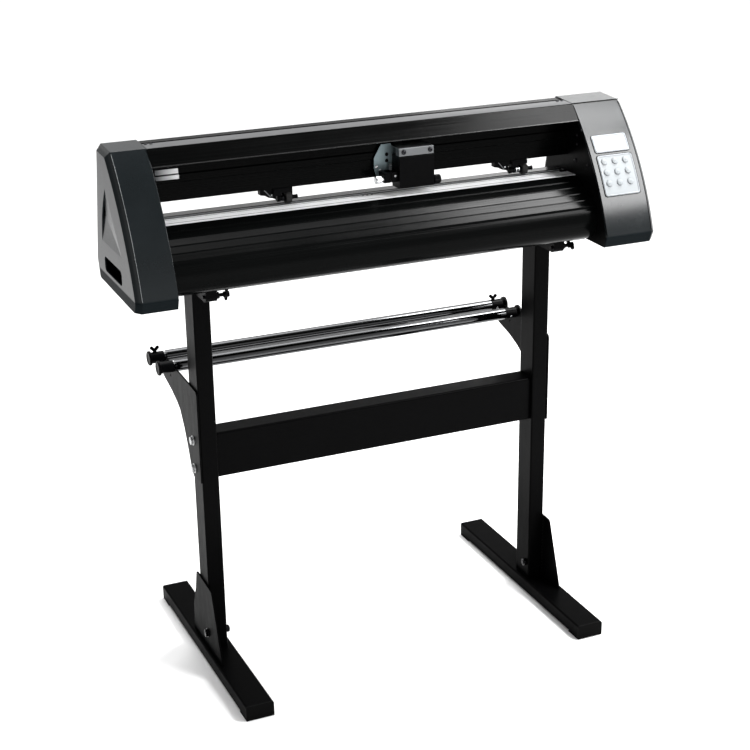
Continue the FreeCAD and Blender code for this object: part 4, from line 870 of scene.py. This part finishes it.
def beam_details():
    """End screws on the beam's top, a bead along the lip's lower edge, a black strip in the top's groove and
    a black line along its front edge as painted shade, and a pale band between them as a painted highlight.
    """
    low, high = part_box("beam")
    upward = (0, 0, 1)
    bm = bmesh.new()
    for inset in (6 * MM, 15 * MM):
        for x in (low.x + inset, high.x - inset):
            place = axis_frame(Vector((x, -14.5 * MM, high.z - 0.6 * MM)), upward)
            pan_head(bm, place, 2.6, 1.8)
    new_piece("beam_end_screws", bm, "black_oxide", "frame")
    ends = (low.x + 1 * MM, high.x - 1 * MM)
    # The black strip in the groove and the black line along the top front edge are painted shade.
    bm = bmesh.new()
    middle = Vector(((low.x + high.x) / 2, -6 * MM, high.z - 1.4 * MM))
    outline = rounded_outline((ends[1] - ends[0]) / MM, 5.6, 1.0)
    plate(bm, outline, 0.8, axis_frame(middle, upward, Vector((1, 0, 0))), 0.2)
    sweep(bm, [Vector((x, *mm(-41.2, 941.6))) for x in ends], 1.0, 10)
    new_piece("beam_groove_painted_shade", bm, "seam_and_shade_black", "frame")
    bm = bmesh.new()
    sweep(bm, [Vector((x, *mm(-63.2, 917.0))) for x in ends], 0.9, 10)
    new_piece("beam_lip_bead", bm, "gloss", "frame")
    bm = bmesh.new()
    # Pale grey band on the top in front of the groove: painted highlight.
    band = [(-39.4, 942.0), (-11.0, 943.2), (-11.0, 943.75), (-12.0, 943.85), (-38.6, 942.7), (-39.4, 942.5)]
    drawn(bm, band, ends)
    new_piece("beam_top_painted_highlight", bm, "band", "frame")


def cover_creases():
    """Fine raised lines along the edges of both covers' front faces and the right cover's top edge: the pale
    line on the left cover is a painted highlight, the black lines on the right cover are painted shade.
    """
    film_lift = 1.25 * MM
    radius = sheet_span("keypad_overlay")[4] - film_lift
    start, end = [math.asin((z * MM - PANEL_Z) / radius) for z in (736, 940)]
    steps = 40
    right_low, right_high = [corner.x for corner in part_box("right_cover")]
    # The left line's pale colour is a painted highlight on the bevel edge; the right lines are black as
    # painted shade.
    lines = (
        ("left_cover_highlight_line", SIDE_X + 9.3 * MM, 0.45, "crease_highlight"),
        ("right_cover_outer_shade_line", right_high - 9.3 * MM, 0.7, "plastic"),
        ("right_cover_inner_shade_line", right_low + 0.7 * MM, 0.85, "seam_and_shade_black"),
    )
    for name, x, thick, look in lines:
        path = [panel_point(x, start + (end - start) * step / steps, radius) for step in range(steps + 1)]
        bm = bmesh.new()
        sweep(bm, path, thick, 8)
        new_piece(name, bm, look, "frame")
    # Black line along the right cover's top front edge: painted shade.
    bm = bmesh.new()
    ends = (right_low + 1.0 * MM, right_high - 7.0 * MM)
    sweep(bm, [Vector((x, *mm(-39.8, 942.3))) for x in ends], 0.8, 8)
    new_piece("right_cover_top_shade_line", bm, "seam_and_shade_black", "frame")


def strip_details():
    """Three low screws of the cutting strip, its seams, and its end stop at the right."""
    low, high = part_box("cutting_strip")
    upward = (0, 0, 1)
    bm = bmesh.new()
    for x in (-26, -18, -10):
        pan_head(bm, axis_frame(Vector((*mm(x, -26.2), high.z - 0.2 * MM)), upward), 1.9, 0.8)
    new_piece("strip_screws", bm, "black_oxide", "frame")
    bm = bmesh.new()
    for share in (0.22, 0.80, 0.98):
        y = low.y + (high.y - low.y) * share
        sweep(bm, [Vector((x, y, high.z)) for x in (low.x + 1 * MM, high.x - 1 * MM)], 0.35, 8)
    new_piece("strip_seams", bm, "seam_and_shade_black", "frame")
    bm = bmesh.new()
    place = axis_frame(Vector((high.x - 8 * MM, -28.5 * MM, high.z)), upward, Vector((1, 0, 0)))
    plate(bm, rounded_outline(12, 7, 2), 3.5, place, 0.8)
    new_piece("strip_end_stop", bm, "plastic", "frame")
    bm = bmesh.new()
    pan_head(bm, place @ Matrix.Translation(mm(0, 0, 3.4)), 1.8, 1.0)
    new_piece("strip_end_screw", bm, "bright", "frame")


def rear_details():
    """Two banks of cooling louvres in the rear wall."""
    low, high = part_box("base_tray")
    louvre = rounded_outline(34, 5.6, 2.6)
    pitch = 11
    bm = bmesh.new()
    for bank in (-220, 60):
        for index in range(9):
            centre = Vector(((bank + index * pitch) * MM, high.y, (low.z + high.z) / 2))
            plate(bm, louvre, 1.4, axis_frame(centre, (0, 1, 0)), 1.0)
    new_piece("rear_louvres", bm, "frame", "frame")


def switch_symbols():
    """Line on the upper half of the rocker."""
    low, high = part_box("power_switch")
    bm = bmesh.new()
    spot = Vector(((low.x + high.x) / 2, high.y - 1.2 * MM, high.z - 4.5 * MM))
    plate(bm, rounded_outline(3.6, 0.6, 0.25), 0.3, axis_frame(spot, (0, 0.99, 0.12)))
    new_piece("switch_line", bm, "display", "power_switch")


# ---------------------------------------------------------------- carriage and pinch rollers


def carriage_details():
    """Screws, fluted knobs, return spring and ribs of the tool carriage."""
    forward, rightward, upward = (0, -1, 0), (1, 0, 0), (0, 0, 1)
    low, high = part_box("carriage_front_plate")
    bm = bmesh.new()
    for x in (low.x + 8.5 * MM, high.x - 6.5 * MM):
        pan_head(bm, axis_frame(Vector((x, low.y, (low.z + high.z) / 2)), forward), 4.1, 2.6, "hexagon")
    new_piece("front_plate_screws", bm, "black_oxide", "carriage")
    clamp_low, clamp_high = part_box("tool_clamp")
    bm = bmesh.new()
    spot = Vector((clamp_low.x + 19.5 * MM, clamp_low.y, clamp_high.z - 6 * MM))
    pan_head(bm, axis_frame(spot, forward), 1.9, 1.2)
    new_piece("clamp_pivot_screw", bm, "bright", "tool_clamp")
    bm = bmesh.new()
    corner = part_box("carriage_frame")[0]
    for across, up, radius, height in ((4.0, 16.5, 3.0, 2.2), (10.5, 10.5, 2.2, 1.6)):
        pan_head(bm, axis_frame(corner + mm(across, 0, up), forward), radius, height)
    new_piece("carriage_plate_screws", bm, "bright", "carriage")
    low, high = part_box("clamp_knob")
    bm = bmesh.new()
    knurl = [(0.0, -0.4), (4.5, -0.4), (6.2, 0.6), (6.2, 9.6), (5.7, 10.8), (0.0, 10.8)]
    centre = Vector((low.x, (low.y + high.y) / 2, (low.z + high.z) / 2))
    lathe(bm, knurl, axis_frame(centre, rightward), 144, 36, 0.4)
    new_piece("clamp_knob_knurl", bm, "bright", "clamp_knob")
    box_low, box_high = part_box("carriage_cover")
    bm = bmesh.new()
    grip = [(0.0, 0.0), (6.8, 0.0), (7.8, 1.0), (7.8, 11.5), (6.8, 12.7), (0.0, 12.7)]
    centre = Vector((box_high.x - 12.5 * MM, *mm(-52, 841.5)))
    lathe(bm, grip, axis_frame(centre, rightward), 120, 20, 0.7)
    new_piece("carriage_knob_grip", bm, "plastic", "carriage")
    bm = bmesh.new()
    middle_x = (clamp_low.x + clamp_high.x) / 2
    foot = Vector((middle_x + 6.5 * MM, clamp_low.y + 18 * MM, clamp_high.z))
    sweep(bm, helix(foot, upward, 2.6, 5, 12), 0.4, 8)
    new_piece("tool_return_spring", bm, "bright", "tool_clamp")
    bm = bmesh.new()
    for level in (846.5, 858.5, 870.5):
        sweep(bm, [Vector((box_low.x, *mm(y, level))) for y in (-57.5, -36.5)], 0.22, 8)
    new_piece("carriage_cover_ribs", bm, "plastic", "carriage")


def pinch_details(side):
    """Spring clip, screw, coil, side wheel, hub bands, pin head and washers of one pinch unit."""
    arm = side + "_pinch_arm"
    block = side + "_pinch_block"
    roller = side + "_pinch_roller"
    roller_low, roller_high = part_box(roller)
    arm_low, arm_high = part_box(arm)
    block_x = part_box(block)[0].x
    face_y = -22

    def on_axis(x, way=1):
        """Frame on the roller's axis at an X place, facing right or left."""
        centre = (roller_low + roller_high) / 2
        return axis_frame(Vector((x, centre.y, centre.z)), (way, 0, 0))

    bm = bmesh.new()
    clip = [(7.0, 848.6), (9.5, 846.5), (14.5, 840.5), (18.2, 836.6)]
    sweep(bm, [Vector((block_x + x * MM, *mm(face_y - 0.3, z))) for x, z in clip], 0.75, 8)
    new_piece(side + "_pinch_clip", bm, "satin", block)
    bm = bmesh.new()
    spot = Vector((block_x + 20.2 * MM, *mm(face_y, 839.6)))
    pan_head(bm, axis_frame(spot, (0, -1, 0)), 1.7, 1.2)
    new_piece(side + "_pinch_screw", bm, "bright", block)
    bm = bmesh.new()
    coil_start = on_axis(arm_low.x + 8.5 * MM).translation
    sweep(bm, helix(coil_start, (1, 0, 0), 5.2, 2.5, 2.6), 0.35, 8)
    new_piece(side + "_pinch_coil", bm, "black_oxide", arm)
    bm = bmesh.new()
    wheel = [(0.0, 0.0), (5.0, 0.0), (5.8, 0.8), (5.8, 5.0), (5.0, 5.8), (0.0, 5.8)]
    lathe(bm, wheel, on_axis(arm_low.x - 0.2 * MM), 96, 24, 0.4)
    new_piece(side + "_pinch_side_wheel", bm, "plastic", arm)
    if side == "right":
        bm = bmesh.new()
        band = [(4.6, 0.0), (5.3, 0.4), (5.3, 1.8), (4.6, 2.2)]
        for start in (12.6, 17.4):
            lathe(bm, band, on_axis(arm_low.x + start * MM), 40)
        new_piece("right_pinch_hub_bands", bm, "bright", arm)
    bm = bmesh.new()
    pin_head = [(0.0, 0.0), (4.0, 0.0), (4.0, 0.9), (3.0, 1.4), (0.0, 1.4)]
    lathe(bm, pin_head, on_axis(arm_high.x - 0.4 * MM), 24)
    new_piece(side + "_pinch_pin_head", bm, "black_oxide", arm)
    bm = bmesh.new()
    washer = [(2.2, 0.0), (6.0, 0.0), (5.6, 0.3), (3.4, 0.3), (2.2, 0.2)]
    for x, way in ((roller_high.x - 0.2 * MM, 1), (roller_low.x + 0.2 * MM, -1)):
        lathe(bm, washer, on_axis(x, way), 32)
    new_piece(side + "_pinch_hub", bm, "plastic", roller)


weld_beads()
bolt_faces()
roller_details()
panel_sheets()
key_faces()
label_plate()
machine_screw_heads()
beam_details()
cover_creases()
strip_details()
rear_details()
switch_symbols()
carriage_details()
for pinch_side in ("left", "right"):
    pinch_details(pinch_side)

# ---------------------------------------------------------------- camera, lights and floor


def add_camera():
    """The photographer's place: front left of the machine and a little above its top."""
    place = (-1.0758, -2.4811, 1.5080)
    right = Vector((0.91497, -0.40330, -0.01352))
    up = Vector((0.15707, 0.32506, 0.93256))
    turn = Matrix((right, up, right.cross(up))).transposed()
    data = bpy.data.cameras.new("camera")
    data.lens = 78.07
    data.sensor_width = 36.0
    data.shift_y = 0.016
    camera = bpy.data.objects.new("camera", data)
    camera.matrix_world = Matrix.Translation(place) @ turn.to_4x4()
    bpy.context.scene.collection.objects.link(camera)
    bpy.context.scene.camera = camera


def add_softbox(name, place, target, width, height, power):
    """A rectangular lamp that faces its target."""
    data = bpy.data.lights.new(name, "AREA")
    data.shape = "RECTANGLE"
    data.size = width
    data.size_y = height
    data.energy = power
    light = bpy.data.objects.new(name, data)
    light.location = place
    aim = Vector(target) - Vector(place)
    light.rotation_euler = aim.to_track_quat("-Z", "Y").to_euler()
    bpy.context.scene.collection.objects.link(light)


def add_sun(name, toward, spread, power):
    """A broad, soft sun that lights the floor from above and behind."""
    data = bpy.data.lights.new(name, "SUN")
    data.energy = power
    data.angle = math.radians(spread)
    sun = bpy.data.objects.new(name, data)
    sun.rotation_euler = (-Vector(toward)).to_track_quat("-Z", "Y").to_euler()
    bpy.context.scene.collection.objects.link(sun)


def add_world():
    """White surroundings at eye level that darken towards the ceiling."""
    world = bpy.data.worlds.new("studio")
    bpy.context.scene.world = world
    world.use_nodes = True
    background = world.node_tree.nodes["Background"]
    background.inputs["Color"].default_value = (1.0, 1.0, 1.0, 1.0)
    links = world.node_tree.links
    direction = world.node_tree.nodes.new("ShaderNodeTexCoord").outputs["Generated"]
    parts = world.node_tree.nodes.new("ShaderNodeSeparateXYZ")
    links.new(direction, parts.inputs["Vector"])
    fade = world.node_tree.nodes.new("ShaderNodeMapRange")
    settings = {"From Min": 0.30, "From Max": 0.70, "To Min": 0.80, "To Max": 0.16}
    for socket, value in settings.items():
        fade.inputs[socket].default_value = value
    links.new(parts.outputs["Z"], fade.inputs["Value"])
    links.new(fade.outputs["Result"], background.inputs["Strength"])


def add_floor():
    """A wide pale floor with a barely visible matt texture."""
    bm = bmesh.new()
    half = 30.0
    corners = [bm.verts.new((x * half, y * half, 0)) for x, y in ((-1, -1), (1, -1), (1, 1), (-1, 1))]
    bm.faces.new(corners)
    mesh = bpy.data.meshes.new("floor")
    bm.to_mesh(mesh)
    floor = bpy.data.objects.new("floor", mesh)
    graph = Graph("floor_paint")
    cloud = graph.noise(3.0, 3.0)
    graph.set(Base_Color=graph.blend(graph.span(cloud, 0.0, 1.0), (0.94, 0.94, 0.94), (0.96, 0.96, 0.96)))
    graph.set(Roughness=0.9)
    floor.data.materials.append(graph.material)
    bpy.context.scene.collection.objects.link(floor)


bpy.context.scene.view_settings.view_transform = "Standard"
add_camera()
add_world()
add_floor()
add_softbox("panel_softbox", (1.70, -1.60, 2.35), (0.43, -0.12, 0.85), 0.9, 1.3, 88)
add_softbox("beam_softbox", (1.33, -0.60, 2.5), (0.35, -0.05, 0.92), 0.5, 0.42, 12)
add_softbox("apron_softbox", (1.28, 0.15, 2.45), (0.33, -0.1, 0.8), 0.6, 0.7, 60)
add_softbox("top_softbox", (2.75, 3.7, 2.15), (0.40, 0.0, 0.94), 1.6, 0.8, 7)
add_sun("overhead_sun", (0.1, 0.5, 1.0), 50, 2.7)
